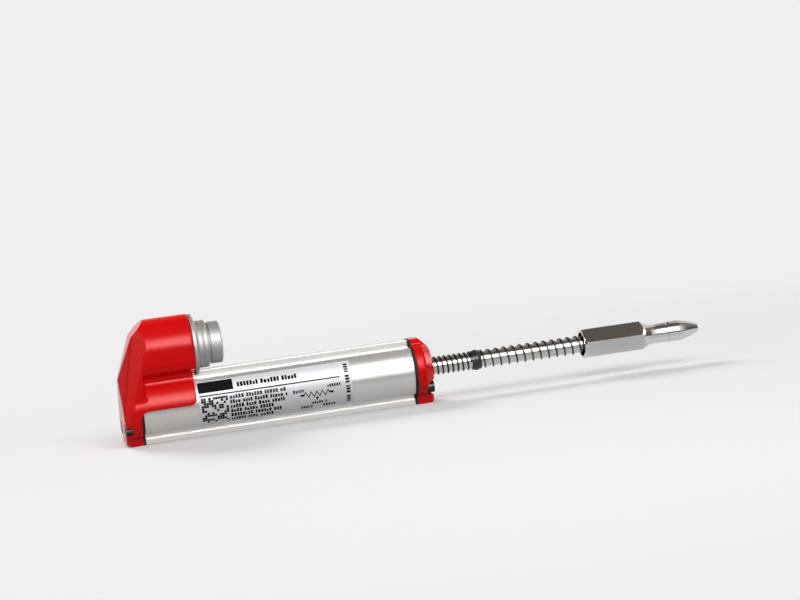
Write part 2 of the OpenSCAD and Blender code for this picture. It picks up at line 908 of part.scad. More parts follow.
module rod() {
    color("lightgray")
        difference() {
            bar(rod_rear_x, rod_end_x - rod_rear_x, rod_d / 2);
            for (x0 = clip_xs)
                difference() {
                    bar(x0 - seat_fit, clip_t + 2 * seat_fit, rod_d);
                    bar(x0 - 1, far, rod_d / 2 - clip_groove);
                }
        }
}

// Two retaining clips that hold the carriage on the rod, each open at one side.
module rod_clips() {
    color("dimgray")
        for (x0 = clip_xs)
            difference() {
                bar(x0, clip_t, clip_r);
                bar(x0 - 1, far, rod_d / 2 - clip_groove + seat_fit);
                translate([x0 - 1, -clip_slot_w / 2, axis_z])
                    cube([far, clip_slot_w, far]);
            }
}

// Distance along the spring after a number of turns, with one closed turn at each end.
function coil_x(turn, turns, l, wire) =
    let (open_l = l - 3 * wire)
    turn < 1 ? wire / 2 + wire * turn :
    turn > turns - 1 ? l - wire / 2 - wire * (turns - turn) :
    1.5 * wire + open_l * (turn - 1) / (turns - 2);

// One ring of points round the wire, in the plane that holds the rod axis.
function coil_ring(x0, turn, turns, l, wire) =
    let (a = 360 * turn,
        mid_r = spring_d / 2 - wire / 2,
        x = x0 + coil_x(turn, turns, l, wire))
    [for (k = [0 : coil_sides - 1])
        let (b = 360 * k / coil_sides,
            r = mid_r + wire / 2 * cos(b))
        [x + wire / 2 * sin(b), r * cos(a), axis_z + r * sin(a)]];

module coil_spring(x0, l, wire, turns) {
    rings = floor(turns * coil_steps) + 1;
    points = [for (i = [0 : rings - 1])
        each coil_ring(x0, turns * i / (rings - 1), turns, l, wire)];
    polyhedron(points, tube_faces(rings, coil_sides));
}

module rear_spring() {
    color("slategray")
        coil_spring(cap_face_x + spring_gap, rear_spring_l - 2 * spring_gap, rear_wire_d, rear_turns);
}

module front_spring() {
    color("lightsteelblue")
        coil_spring(front_spring_x + spring_gap, hollow_end_x - front_spring_x - 2 * spring_gap,
            front_wire_d, front_turns);
}

// Guide ring between the springs: a sleeve on the rod with a raised, chamfered band.
module spring_ring() {
    half = ring_d / 2;
    low = spring_d / 2;
    band = ring_l / 4;
    color("black")
        turned(ring_x)
            polygon([[0, rod_d / 2 + running_fit], [0, low], [band, low], [band + half - low, half],
                [ring_l - band - half + low, half], [ring_l - band, low], [ring_l, low],
                [ring_l, rod_d / 2 + running_fit]]);
}

// The hexagonal sleeve: its hollow takes the front spring, and its taper runs into the neck.
module hex_sleeve() {
    corner_r = hex_af / sqrt(3);
    drop = corner_r - tip_neck_d / 2;
    joint_r = tip_joint_d / 2;
    arc_r = (taper_l * taper_l + drop * drop) / (2 * drop);
    color("lightgray")
        difference() {
            union() {
                intersection() {
                    bar_hex(hex_x, hex_l + taper_l, corner_r);
                    turned(hex_x)
                        difference() {
                            polygon([[0, 0], [0, corner_r - hollow_chamfer], [hollow_chamfer, corner_r],
                                [hex_l + taper_l, corner_r], [hex_l + taper_l, 0]]);
                            translate([hex_l + taper_l, tip_neck_d / 2 + arc_r])
                                circle(arc_r, $fn = 180);
                        }
                }
                turned(tip_neck_x)
                    polygon([[-eps, 0], [-eps, tip_neck_d / 2], [tip_neck_l - tip_joint_chamfer, joint_r],
                        [tip_neck_l, joint_r - tip_joint_chamfer], [tip_neck_l, 0]]);
            }
            bar(hex_x - 1, hollow_depth + 1, hollow_r);
            bar(hex_x, rod_end_x + seat_fit - hex_x, rod_d / 2 + seat_fit);
            bar(nose_x - stud_l - seat_fit, far, stud_r + seat_fit);
        }
}

module bar_hex(x0, l, r) {
    translate([x0, 0, axis_z])
        rotate([90, 0, 90])
            linear_extrude(l)
                rotate(hex_turn)
                    circle(r, $fn = 6);
}

// The nose: a nearly straight part, an arc down to its flat end, and the stud that holds it.
module tip_nose() {
    start = [nose_straight, nose_d / 2];
    end = [nose_straight + nose_round, nose_end_d / 2];
    chord = end - start;
    back = sqrt(nose_arc_r * nose_arc_r - chord * chord / 4);
    centre = (start + end) / 2 + back * [chord[1], -chord[0]] / norm(chord);
    joint_r = tip_joint_d / 2;
    color("lightgray")
        union() {
            turned(nose_x) {
                polygon([[0, 0], [0, joint_r - tip_joint_chamfer], [tip_joint_chamfer, joint_r], start,
                    [nose_straight, 0]]);
                intersection() {
                    translate([nose_straight, 0])
                        square([nose_round, nose_d / 2]);
                    translate(centre)
                        circle(nose_arc_r, $fn = 360);
                }
            }
            bar(nose_x - stud_l, stud_l + 1, stud_r);
        }
}

// The label on the near side wall of the body.
module label() {
    low = asin((label_low_z - axis_z) / body_r);
    high = asin((label_high_z - axis_z) / body_r);
    color("whitesmoke")
        along_x(saddle_x + label_gap, label_l)
            translate([0, axis_z])
                intersection() {
                    difference() {
                        circle(body_r + label_t, $fn = 180);
                        circle(body_r, $fn = 180);
                    }
                    polygon([[0, 0], far * [-cos(low), sin(low)], [-2 * far, 0],
                        far * [-cos(high), sin(high)]]);
                }
}

body_extrusion();
rear_cap();
front_cap();
gasket(rear_cap_x);  // rear_gasket
gasket(body_front_x);  // front_gasket
color("black") cap_screw(rear_seat_x, -1);  // rear_cap_screws
color("black") cap_screw(front_seat_x, 1);  // front_cap_screws
label();
connector_shell();
connector_bezel();
connector_nut();
bezel_seal();
connector_insert();
connector_pins();
track_board();
printed_track(-1, "black");  // resistance_track
printed_track(1, "silver");  // collector_track
track_terminals();
lead(lead_side_route, -terminal_y, "sienna");  // lead_brown
lead(lead_middle_route, 0, "gold");  // lead_yellow
lead(lead_side_route, terminal_y, "royalblue");  // lead_blue
end_stop();
rear_buffer();
front_buffer();
rod_bush();
rod_seal();
spring_seat();
carriage();
wiper_spring();
wiper_contacts();
rod();
rod_clips();
rear_spring();
spring_ring();
front_spring();
hex_sleeve();
tip_nose();
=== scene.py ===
"""Looks of a spring-return linear potentiometer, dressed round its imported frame.

Lengths are in metres unless a comment says otherwise. +X runs along the rod towards the tip, +Z is
up, and the origin is the middle of the foot's underside. Sizes that belong to the construction are
read from the frame.
"""

import json
import logging
import math
import random
from collections.abc import Iterator
from dataclasses import dataclass, replace
from enum import Enum

import bmesh
import bpy
from mathutils import Matrix, Vector

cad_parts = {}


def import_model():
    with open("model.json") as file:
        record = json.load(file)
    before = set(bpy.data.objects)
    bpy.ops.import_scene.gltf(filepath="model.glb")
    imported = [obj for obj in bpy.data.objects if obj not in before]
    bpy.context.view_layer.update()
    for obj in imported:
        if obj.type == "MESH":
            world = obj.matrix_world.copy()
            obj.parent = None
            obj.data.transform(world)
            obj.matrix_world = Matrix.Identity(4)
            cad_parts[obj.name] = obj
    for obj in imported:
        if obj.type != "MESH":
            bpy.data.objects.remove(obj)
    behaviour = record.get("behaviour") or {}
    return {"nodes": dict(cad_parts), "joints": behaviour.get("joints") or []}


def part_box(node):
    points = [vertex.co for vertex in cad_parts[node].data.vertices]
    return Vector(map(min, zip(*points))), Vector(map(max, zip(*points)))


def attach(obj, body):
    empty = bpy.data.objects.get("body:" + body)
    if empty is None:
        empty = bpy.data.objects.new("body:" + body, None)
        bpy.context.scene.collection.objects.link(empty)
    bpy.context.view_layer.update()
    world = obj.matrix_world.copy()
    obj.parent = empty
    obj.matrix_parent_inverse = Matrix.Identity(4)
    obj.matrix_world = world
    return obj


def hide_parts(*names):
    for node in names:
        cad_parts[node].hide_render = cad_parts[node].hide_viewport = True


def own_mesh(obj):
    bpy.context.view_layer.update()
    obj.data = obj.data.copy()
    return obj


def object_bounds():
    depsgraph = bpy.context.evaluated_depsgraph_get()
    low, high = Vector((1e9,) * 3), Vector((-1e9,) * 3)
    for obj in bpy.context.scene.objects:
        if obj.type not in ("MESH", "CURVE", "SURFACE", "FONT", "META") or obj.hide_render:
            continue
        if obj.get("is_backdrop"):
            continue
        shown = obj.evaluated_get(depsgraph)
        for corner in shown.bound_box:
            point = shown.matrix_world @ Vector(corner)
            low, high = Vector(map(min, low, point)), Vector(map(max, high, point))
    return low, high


LOG = logging.getLogger("potentiometer")
MM = 0.001
WELD_REACH = 1e-6

RGB = tuple[float, float, float]
Triple = tuple[float, float, float]
Range = tuple[float, float]
Patch = tuple[float, float, float, float]
Socket = bpy.types.NodeSocket
Sockets = bpy.types.bpy_prop_collection


# ---------------------------------------------------------------- shader nodes


class NodeTree:
    """A thin builder over a node tree, which adds nodes and feeds their inputs."""

    def __init__(self, tree: bpy.types.NodeTree) -> None:
        """Keeps the tree that nodes are added to."""
        self.tree = tree

    def add(self, kind: str, **settings: object) -> bpy.types.Node:
        """Adds a node.

        Args:
            kind: The node's type name, such as "ShaderNodeTexNoise".
            settings: Attributes to set on the new node.

        Returns:
            The new node.
        """
        node = self.tree.nodes.new(kind)
        for key, value in settings.items():
            setattr(node, key, value)
        return node

    def feed(self, value: object, target: Socket) -> None:
        """Links a socket to an input, or sets the input's value.

        Args:
            value: An output socket, a number, a vector or an RGB colour.
            target: The input.
        """
        if isinstance(value, Socket):
            self.tree.links.new(value, target)
        elif target.type == "RGBA":
            target.default_value = (*value, 1.0)
        else:
            target.default_value = value

    def math(self, operation: str, first: object, second: object = 0.0,
             clamp: bool = False) -> Socket:
        """Adds a Math node.

        Args:
            operation: The Math node's operation.
            first: A socket or a number for the first input.
            second: A socket or a number for the second input.
            clamp: Whether the result is kept between 0 and 1.

        Returns:
            The result's socket.
        """
        node = self.add("ShaderNodeMath", operation=operation, use_clamp=clamp)
        self.feed(first, node.inputs[0])
        self.feed(second, node.inputs[1])
        return node.outputs[0]

    def product(self, *factors: object) -> Socket:
        """Multiplies two or more values.

        Args:
            factors: Sockets or numbers.

        Returns:
            The product's socket.
        """
        whole = factors[0]
        for factor in factors[1:]:
            whole = self.math("MULTIPLY", whole, factor)
        return whole

    def vector(self, operation: str, first: Socket, second: object = (0.0, 0.0, 0.0)) -> Socket:
        """Adds a Vector Math node.

        Args:
            operation: The Vector Math node's operation.
            first: The first vector's socket.
            second: A socket or three numbers for the second vector.

        Returns:
            The result's socket: a vector, or a number for DOT_PRODUCT and LENGTH.
        """
        node = self.add("ShaderNodeVectorMath", operation=operation)
        self.feed(first, node.inputs[0])
        self.feed(second, node.inputs[1])
        return node.outputs["Value" if operation in ("DOT_PRODUCT", "LENGTH") else "Vector"]

    def mix(self, factor: object, first: object, second: object) -> Socket:
        """Mixes two colours.

        Args:
            factor: A socket or a number from 0, the first colour, to 1, the second.
            first: A socket or a colour.
            second: A socket or a colour.

        Returns:
            The mixed colour's socket.
        """
        node = self.add("ShaderNodeMix", data_type="RGBA")
        for index, value in ((0, factor), (6, first), (7, second)):
            self.feed(value, node.inputs[index])
        return node.outputs[2]

    def blend(self, factor: object, first: Socket, second: Socket) -> Socket:
        """Mixes two shaders.

        Args:
            factor: A socket or a number from 0, the first shader, to 1, the second.
            first: A shader's socket.
            second: A shader's socket.

        Returns:
            The mixed shader's socket.
        """
        node = self.add("ShaderNodeMixShader")
        for socket, value in zip(node.inputs, (factor, first, second)):
            self.feed(value, socket)
        return node.outputs[0]

    def remap(self, value: Socket, source: Range, target: Range = (0.0, 1.0)) -> Socket:
        """Adds a clamped Map Range node.

        Args:
            value: The socket to map.
            source: The range that comes in.
            target: The range that goes out.

        Returns:
            The mapped value's socket.
        """
        node = self.add("ShaderNodeMapRange")
        self.feed(value, node.inputs["Value"])
        for name, number in zip(("From Min", "From Max", "To Min", "To Max"), (*source, *target)):
            self.feed(number, node.inputs[name])
        return node.outputs["Result"]

    def noise(self, vector: Socket, scale: object, detail: float, roughness: float = 0.5) -> Socket:
        """Adds a Noise Texture.

        Args:
            vector: The coordinates to read.
            scale: A socket or a number of cells per metre.
            detail: Number of octaves.
            roughness: Share of the finer octaves.

        Returns:
            The noise value's socket.
        """
        node = self.add("ShaderNodeTexNoise")
        for name, value in zip(("Vector", "Scale", "Detail", "Roughness"),
                               (vector, scale, detail, roughness)):
            self.feed(value, node.inputs[name])
        return node.outputs["Fac"]

    def place(self) -> Socket:
        """Adds the place on the object, in metres."""
        return self.add("ShaderNodeTexCoord").outputs["Object"]

    def axes(self, vector: Socket) -> Sockets:
        """Splits a vector.

        Args:
            vector: The vector's socket.

        Returns:
            The sockets "X", "Y" and "Z".
        """
        node = self.add("ShaderNodeSeparateXYZ")
        self.feed(vector, node.inputs[0])
        return node.outputs

    def mirror_rays(self, ray: Sockets) -> Socket:
        """Is 1 for the rays that polished or clear surfaces send out, from a Light Path node."""
        return self.math("MAXIMUM", ray["Is Glossy Ray"], ray["Is Transmission Ray"])


def fresh_nodes(owner: bpy.types.Material | bpy.types.World,
                output: str) -> tuple[NodeTree, Socket]:
    """Empties the nodes of a material or world.

    Args:
        owner: The material or world.
        output: Type name of its output node.

    Returns:
        A builder on its nodes, and the surface socket to feed.
    """
    owner.use_nodes = True
    owner.node_tree.nodes.clear()
    build = NodeTree(owner.node_tree)
    return build, build.add(output).inputs["Surface"]


class GroupName(Enum):
    """The effects that several finishes share, each one a shader node group."""

    GRAIN = "grain_lines"
    MOTTLE = "mottled_colour"
    EDGE = "edge_wear_mask"
    HANDLING = "handling_marks"


@dataclass(frozen=True)
class EffectGroups:
    """Builds each shared effect once and hands it out.

    Attributes:
        finer: Cells of the mottle's fine cloud to one of its slow drift.
        slow: Share of the slow drift in the mottle.
        edge_samples: Rays that look for an edge.
        least_wear: Wear where an edge is worn least, as a share of the most.
        drag: Cells of the handling marks on each axis, as a share of their number.
    """

    finer: float = 9.0
    slow: float = 0.7
    edge_samples: int = 4
    least_wear: float = 0.15
    drag: Triple = (0.5, 1.0, 1.0)

    def get(self, name: GroupName) -> bpy.types.NodeTree:
        """Finds an effect's node group, or builds it.

        Args:
            name: Which effect.

        Returns:
            The node group.
        """
        if name.value not in bpy.data.node_groups:
            makers = {
                GroupName.GRAIN: self._grain,
                GroupName.MOTTLE: self._mottle,
                GroupName.EDGE: self._edge,
                GroupName.HANDLING: self._handling,
            }
            makers[name]()
        return bpy.data.node_groups[name.value]

    @staticmethod
    def _open(name: GroupName, inputs: dict[str, object],
              output: str) -> tuple[NodeTree, Sockets, Socket]:
        """Starts a group with its sockets.

        Args:
            name: Which effect.
            inputs: Default of each input by name: a number, or a colour as four numbers.
            output: Name of its one output.

        Returns:
            A builder on the group, its inputs by name, and the output to feed.
        """
        group = bpy.data.node_groups.new(name.value, "ShaderNodeTree")
        for label, default in inputs.items():
            kind = "NodeSocketColor" if isinstance(default, tuple) else "NodeSocketFloat"
            socket = group.interface.new_socket(label, in_out="INPUT", socket_type=kind)
            socket.default_value = default
        kind = "NodeSocketColor" if output == "Colour" else "NodeSocketFloat"
        group.interface.new_socket(output, in_out="OUTPUT", socket_type=kind)
        build = NodeTree(group)
        given = build.add("NodeGroupInput").outputs
        return build, given, build.add("NodeGroupOutput").inputs[output]

    def _grain(self) -> None:
        """Fine lines: noise stretched by a different number of cells per metre on each axis."""
        axes = {f"Lines {axis}": 100.0 for axis in "XYZ"}
        build, given, result = self._open(GroupName.GRAIN, {**axes, "Contrast": 1.0}, "Value")
        cells = build.add("ShaderNodeCombineXYZ")
        for axis in "XYZ":
            build.feed(given[f"Lines {axis}"], cells.inputs[axis])
        stretched = build.vector("MULTIPLY", build.place(), cells.outputs[0])
        lines = build.noise(stretched, 1.0, detail=3.0, roughness=0.6)
        scaled = build.product(build.math("SUBTRACT", lines, 0.5), given["Contrast"])
        build.feed(build.math("ADD", scaled, 0.5, clamp=True), result)

    def _mottle(self) -> None:
        """Slow drift between two colours, broken up by a finer cloud."""
        grey = (0.5, 0.5, 0.5, 1.0)
        inputs = {"Colour": grey, "Second Colour": grey, "Cells": 40.0, "Amount": 0.5}
        build, given, result = self._open(GroupName.MOTTLE, inputs, "Colour")
        place = build.place()
        slow = build.noise(place, given["Cells"], detail=2.0)
        fine_cells = build.product(given["Cells"], self.finer)
        fine = build.noise(place, fine_cells, detail=4.0, roughness=0.6)
        both = build.math("ADD", build.product(slow, self.slow), build.product(fine, 1 - self.slow))
        mask = build.remap(both, (0.35, 0.65))
        share = build.math("MULTIPLY", mask, given["Amount"], clamp=True)
        build.feed(build.mix(share, given["Colour"], given["Second Colour"]), result)

    def _edge(self) -> None:
        """A mask of the outer edges, broken up so that wear is uneven along them."""
        inputs = {"Radius": 0.0004, "Strength": 3.0, "Cells": 600.0}
        build, given, result = self._open(GroupName.EDGE, inputs, "Mask")
        rounded = build.add("ShaderNodeBevel", samples=self.edge_samples)
        build.feed(given["Radius"], rounded.inputs["Radius"])
        surface = build.add("ShaderNodeNewGeometry")
        turn = build.vector("DOT_PRODUCT", rounded.outputs["Normal"], surface.outputs["Normal"])
        edge = build.product(build.math("SUBTRACT", 1.0, turn), given["Strength"])
        cloud = build.noise(build.place(), given["Cells"], detail=3.0)
        broken = build.remap(cloud, (0.4, 0.6), (self.least_wear, 1.0))
        build.feed(build.math("MULTIPLY", edge, broken, clamp=True), result)

    def _handling(self) -> None:
        """Soft smears that raise or lower the gloss, as touched surfaces have."""
        build, given, result = self._open(GroupName.HANDLING, {"Cells": 60.0}, "Mask")
        dragged = build.vector("MULTIPLY", build.place(), self.drag)
        smear = build.noise(dragged, given["Cells"], detail=5.0, roughness=0.65)
        build.feed(build.remap(smear, (0.35, 0.7)), result)


EFFECTS = EffectGroups()


# ---------------------------------------------------------------- finishes


class Grain(Enum):
    """Which way fine machining or moulding lines run: cells per metre along X, Y and Z."""

    DRAWN = (40.0, 5200.0, 5200.0)
    TURNED = (9000.0, 60.0, 60.0)
    GROUND = (16000.0, 120.0, 120.0)
    POLISHED = (700.0, 500.0, 500.0)
    MOULDED = (2600.0, 2600.0, 2600.0)
    FOIL = (900.0, 3800.0, 3800.0)
    WOVEN = (4200.0, 4200.0, 1400.0)


@dataclass(frozen=True)
class Finish:
    """One surface finish and the material made from it.

    Attributes:
        slot: Name of the record's material slot, and of the material.
        colour: Main colour, linear RGB.
        second: Colour that it drifts to.
        roughness: Roughness where the grain is low and where it is high.
        metallic: 0 for a dielectric, 1 for a metal.
        grain: Direction and fineness of the grain.
        relief: Height of the grain, in metres.
        contrast: How sharply the grain's lines stand out.
        grain_share: Share of the grain in the roughness, where handling marks make up the rest.
        drift: Share of the second colour, from 0 to 1.
        cells: Cells of colour drift per metre.
        worn: Colour of worn edges, or None.
        wear: Strength of the edge wear.
        shine: Level of the surface's own reflection, where 0.5 is its plain amount.
    """

    slot: str
    colour: RGB
    second: RGB
    roughness: Range
    metallic: float = 0.0
    grain: Grain = Grain.MOULDED
    relief: float = 2e-6
    contrast: float = 1.6
    grain_share: float = 0.65
    drift: float = 0.5
    cells: float = 60.0
    worn: RGB | None = None
    wear: float = 2.0
    shine: float = 0.5

    def material(self) -> bpy.types.Material:
        """Builds the material, or finds it if it is built already.

        Returns:
            The material of this finish.
        """
        name = f"finish_{self.slot}"
        found = bpy.data.materials.get(name)
        if found:
            return found
        made = bpy.data.materials.new(name)
        build, surface = fresh_nodes(made, "ShaderNodeOutputMaterial")
        shader = build.add("ShaderNodeBsdfPrincipled")
        build.feed(shader.outputs[0], surface)
        lines = dict(zip(("Lines X", "Lines Y", "Lines Z"), self.grain.value))
        grain = self._effect(build, GroupName.GRAIN, {**lines, "Contrast": self.contrast})
        smear = self._effect(build, GroupName.HANDLING, {"Cells": self.cells})
        texture = build.math("ADD", build.product(grain, self.grain_share),
                             build.product(smear, 1 - self.grain_share))
        texture = build.remap(texture, (0.2, 0.8), self.roughness)
        bump = build.add("ShaderNodeBump")
        build.feed(self.relief, bump.inputs["Distance"])
        build.feed(grain, bump.inputs["Height"])
        for socket, value in (
            ("Metallic", self.metallic),
            ("Specular IOR Level", self.shine),
            ("Base Color", self._colour(build)),
            ("Roughness", texture),
            ("Normal", bump.outputs["Normal"]),
        ):
            build.feed(value, shader.inputs[socket])
        return made

    def _colour(self, build: NodeTree) -> Socket:
        """Builds the colour: drift, then edge wear.

        Args:
            build: The material's builder.

        Returns:
            The finished colour's socket.
        """
        colour = self._effect(build, GroupName.MOTTLE, {
            "Colour": self.colour, "Second Colour": self.second,
            "Cells": self.cells, "Amount": self.drift,
        })
        if self.worn is not None:
            edge = self._effect(build, GroupName.EDGE, {"Strength": self.wear})
            colour = build.mix(edge, colour, self.worn)
        return colour

    @staticmethod
    def _effect(build: NodeTree, name: GroupName, values: dict[str, object]) -> Socket:
        """Places a shared effect in the material.

        Args:
            build: The material's builder.
            name: Which effect.
            values: Its inputs by name.

        Returns:
            The effect's output.
        """
        node = build.add("ShaderNodeGroup", node_tree=EFFECTS.get(name))
        for key, value in values.items():
            build.feed(value, node.inputs[key])
        return node.outputs[0]


ALUMINIUM = Finish("body_aluminium", (0.82, 0.805, 0.785), (0.79, 0.775, 0.755), (0.22, 0.26),
    metallic=0.5, grain=Grain.DRAWN, relief=2.5e-7, cells=35.0)
CAP_RED = Finish("cap_red", (0.92, 0.001, 0.002), (0.85, 0.0008, 0.0015), (0.17, 0.24), drift=0.3,
    worn=(0.95, 0.008, 0.012), wear=0.8, shine=0.2)
GASKET = Finish("gasket_black", (0.012, 0.012, 0.013), (0.02, 0.02, 0.021), (0.55, 0.75),
    relief=6e-6, shine=0.25)
SCREW = Finish("screw_black", (0.045, 0.042, 0.042), (0.025, 0.024, 0.025), (0.28, 0.42),
    metallic=1.0, grain=Grain.TURNED, worn=(0.32, 0.31, 0.30))
LABEL = Finish("label_silver", (0.86, 0.875, 0.90), (0.82, 0.835, 0.86), (0.40, 0.50),
    metallic=0.12, grain=Grain.FOIL, relief=1.5e-6, cells=25.0)
CONNECTOR = Finish("connector_metal", (0.46, 0.455, 0.45), (0.41, 0.405, 0.40), (0.50, 0.60),
    metallic=0.6, grain=Grain.TURNED, relief=3e-6, worn=(0.74, 0.73, 0.71), wear=1.6)
INSERT = Finish("insert_black", (0.018, 0.018, 0.019), (0.03, 0.03, 0.031), (0.40, 0.52),
    relief=3e-6)
GOLD = Finish("contact_gold", (0.83, 0.60, 0.24), (0.72, 0.50, 0.18), (0.18, 0.30), metallic=1.0,
    grain=Grain.TURNED, relief=1e-6)
BOARD = Finish("board_green", (0.012, 0.085, 0.035), (0.010, 0.060, 0.026), (0.35, 0.5),
    grain=Grain.WOVEN, relief=8e-6)
CARBON = Finish("track_carbon", (0.018, 0.018, 0.02), (0.026, 0.026, 0.028), (0.45, 0.6))
SILVER_FILM = Finish("track_silver", (0.66, 0.65, 0.62), (0.56, 0.55, 0.53), (0.30, 0.42),
    metallic=1.0)
LEAD_BROWN = Finish("lead_brown", (0.10, 0.035, 0.015), (0.08, 0.028, 0.012), (0.40, 0.5),
    relief=4e-6)
LEAD_YELLOW = Finish("lead_yellow", (0.75, 0.52, 0.03), (0.68, 0.46, 0.03), (0.40, 0.5),
    relief=4e-6)
LEAD_BLUE = Finish("lead_blue", (0.02, 0.06, 0.38), (0.016, 0.05, 0.30), (0.40, 0.5), relief=4e-6)
WHITE_PLASTIC = Finish("plastic_white", (0.72, 0.70, 0.64), (0.66, 0.64, 0.58), (0.38, 0.5),
    relief=4e-6)
BUFFER = Finish("buffer_black", (0.015, 0.015, 0.016), (0.024, 0.024, 0.025), (0.5, 0.68),
    relief=6e-6)
BRONZE = Finish("bush_bronze", (0.52, 0.30, 0.13), (0.42, 0.24, 0.10), (0.30, 0.45), metallic=1.0,
    grain=Grain.TURNED, relief=3e-6)
WASHER = Finish("washer_steel", (0.55, 0.54, 0.53), (0.48, 0.475, 0.47), (0.25, 0.38), metallic=1.0,
    grain=Grain.POLISHED)
WIPER = Finish("wiper_bronze", (0.62, 0.40, 0.17), (0.54, 0.34, 0.14), (0.24, 0.36), metallic=1.0,
    grain=Grain.POLISHED)
ROD_STEEL = Finish("rod_steel", (0.55, 0.54, 0.525), (0.49, 0.48, 0.47), (0.17, 0.25), metallic=1.0,
    grain=Grain.GROUND, relief=1.2e-6)
CLIP = Finish("clip_steel", (0.30, 0.295, 0.29), (0.24, 0.235, 0.23), (0.28, 0.42), metallic=1.0,
    grain=Grain.POLISHED)
SPRING_DARK = Finish("spring_dark", (0.07, 0.067, 0.064), (0.05, 0.047, 0.045), (0.26, 0.40),
    metallic=1.0, grain=Grain.POLISHED)
SPRING_STEEL = Finish("spring_steel", (0.10, 0.096, 0.092), (0.07, 0.067, 0.064), (0.22, 0.34),
    metallic=1.0, grain=Grain.POLISHED, relief=1.5e-6)
RING = Finish("ring_black", (0.020, 0.019, 0.019), (0.032, 0.031, 0.030), (0.24, 0.36),
    grain=Grain.TURNED, relief=4e-6, worn=(0.09, 0.088, 0.085))
CHROME = Finish("tip_chrome", (0.66, 0.655, 0.65), (0.60, 0.595, 0.59), (0.07, 0.15), metallic=1.0,
    grain=Grain.POLISHED, relief=8e-7, worn=(0.80, 0.79, 0.78), wear=1.0)
INK = Finish("label_silver_ink", (0.007, 0.007, 0.008), (0.012, 0.012, 0.013), (0.6, 0.7),
    relief=1e-6, shine=0.04)
FAINT_INK = Finish("label_faint_ink", (0.05, 0.05, 0.054), (0.07, 0.07, 0.075), (0.6, 0.7),
    relief=1e-6, shine=0.1)


# ---------------------------------------------------------------- mesh tools


def add_object(name: str, data: bpy.types.ID) -> bpy.types.Object:
    """Adds an object to the scene.

    Args:
        name: Its name.
        data: Its mesh, lamp or camera.

    Returns:
        The new object.
    """
    made = bpy.data.objects.new(name, data)
    bpy.context.scene.collection.objects.link(made)
    return made


def add_mesh(name: str, shape: bmesh.types.BMesh, finish: Finish, body: str,
             smooth: bool = True) -> bpy.types.Object:
    """Turns a shape into a dressed piece that rides on a body.

    Args:
        name: The piece's name.
        shape: The shape, which is freed.
        finish: Its finish.
        body: The body that it moves with.
        smooth: Whether its faces are shaded smooth.

    Returns:
        The new object.
    """
    mesh = bpy.data.meshes.new(name)
    shape.to_mesh(mesh)
    shape.free()
    for face in mesh.polygons:
        face.use_smooth = smooth
    piece = add_object(name, mesh)
    mesh.materials.append(finish.material())
    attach(piece, body)
    LOG.info("%s: %s, %d faces", name, finish.slot, len(mesh.polygons))
    return piece


def modify(node: bpy.types.Object, kind: str, **settings: object) -> None:
    """Adds a modifier.

    Args:
        node: The object that gets it.
        kind: The modifier's type name.
        settings: Attributes to set on it.
    """
    modifier = node.modifiers.new(kind.lower(), kind)
    for key, value in settings.items():
        setattr(modifier, key, value)


@dataclass(frozen=True)
class Edge:
    """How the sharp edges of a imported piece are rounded.

    Attributes:
        width: Width of the rounding, in metres.
        segments: Facets across it.
        limit: Smallest angle between faces that is rounded, in degrees.
        evenness: How far the large faces rule the shading beside it, from 1 to 100.
    """

    width: float
    segments: int = 2
    limit: float = 30.0
    evenness: int = 80


# ---------------------------------------------------------------- sub-assemblies


@dataclass
class Assembly:
    """A sub-assembly of the potentiometer.

    Attributes:
        nodes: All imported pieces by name.
    """

    nodes: dict[str, bpy.types.Object]

    def dress(self, name: str, finish: Finish, edge: Edge | None = None) -> None:
        """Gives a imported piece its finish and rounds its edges.

        Args:
            name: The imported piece.
            finish: The finish for all its faces.
            edge: The rounding, or None for none.
        """
        node = self.nodes[name]
        for place in node.material_slots:
            place.material = finish.material()
        LOG.info("%s: %s, edges of %.2f mm", name, finish.slot, edge.width / MM if edge else 0.0)
        if edge is not None:
            modify(node, "WELD", merge_threshold=WELD_REACH)
            modify(node, "BEVEL", width=edge.width, segments=edge.segments, limit_method="ANGLE",
                   angle_limit=math.radians(edge.limit), use_clamp_overlap=True)
            modify(node, "WEIGHTED_NORMAL", weight=edge.evenness, keep_sharp=False)


@dataclass
class Housing(Assembly):
    """The extrusion with its gaskets, and the two end caps with their screws.

    Attributes:
        body_edge: Rounding of the extrusion.
        screw_edge: Rounding of the screws.
        cap_voxel: Face size of the moulded caps, in metres.
        cap_rounds: How many times the moulded caps are smoothed.
    """

    body_edge: Edge = Edge(0.00022, 3, 40.0)
    screw_edge: Edge = Edge(0.00015)
    cap_voxel: float = 0.00032
    cap_rounds: int = 9

    def build(self) -> None:
        """Dresses the extrusion, the gaskets and the screws, and moulds the two caps."""
        self.dress("body_extrusion", ALUMINIUM, self.body_edge)
        for end in ("rear", "front"):
            self.dress(f"{end}_gasket", GASKET)
            self.dress(f"{end}_cap_screws", SCREW, self.screw_edge)
            self._mould(f"{end}_cap")

    def _mould(self, name: str) -> None:
        """Replaces a packed cap by an even mesh with soft moulded edges.

        Args:
            name: The cap's node.
        """
        scratch = add_object(f"{name}_scratch", self.nodes[name].data.copy())
        modify(scratch, "WELD", merge_threshold=WELD_REACH)
        modify(scratch, "REMESH", mode="VOXEL", voxel_size=self.cap_voxel)
        modify(scratch, "SMOOTH", factor=0.5, iterations=self.cap_rounds)
        evaluated = scratch.evaluated_get(bpy.context.evaluated_depsgraph_get())
        shape = bmesh.new()
        shape.from_mesh(evaluated.to_mesh())
        bpy.data.objects.remove(scratch)
        piece = add_mesh(f"{name}_moulding", shape, CAP_RED, "housing")
        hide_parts(name)


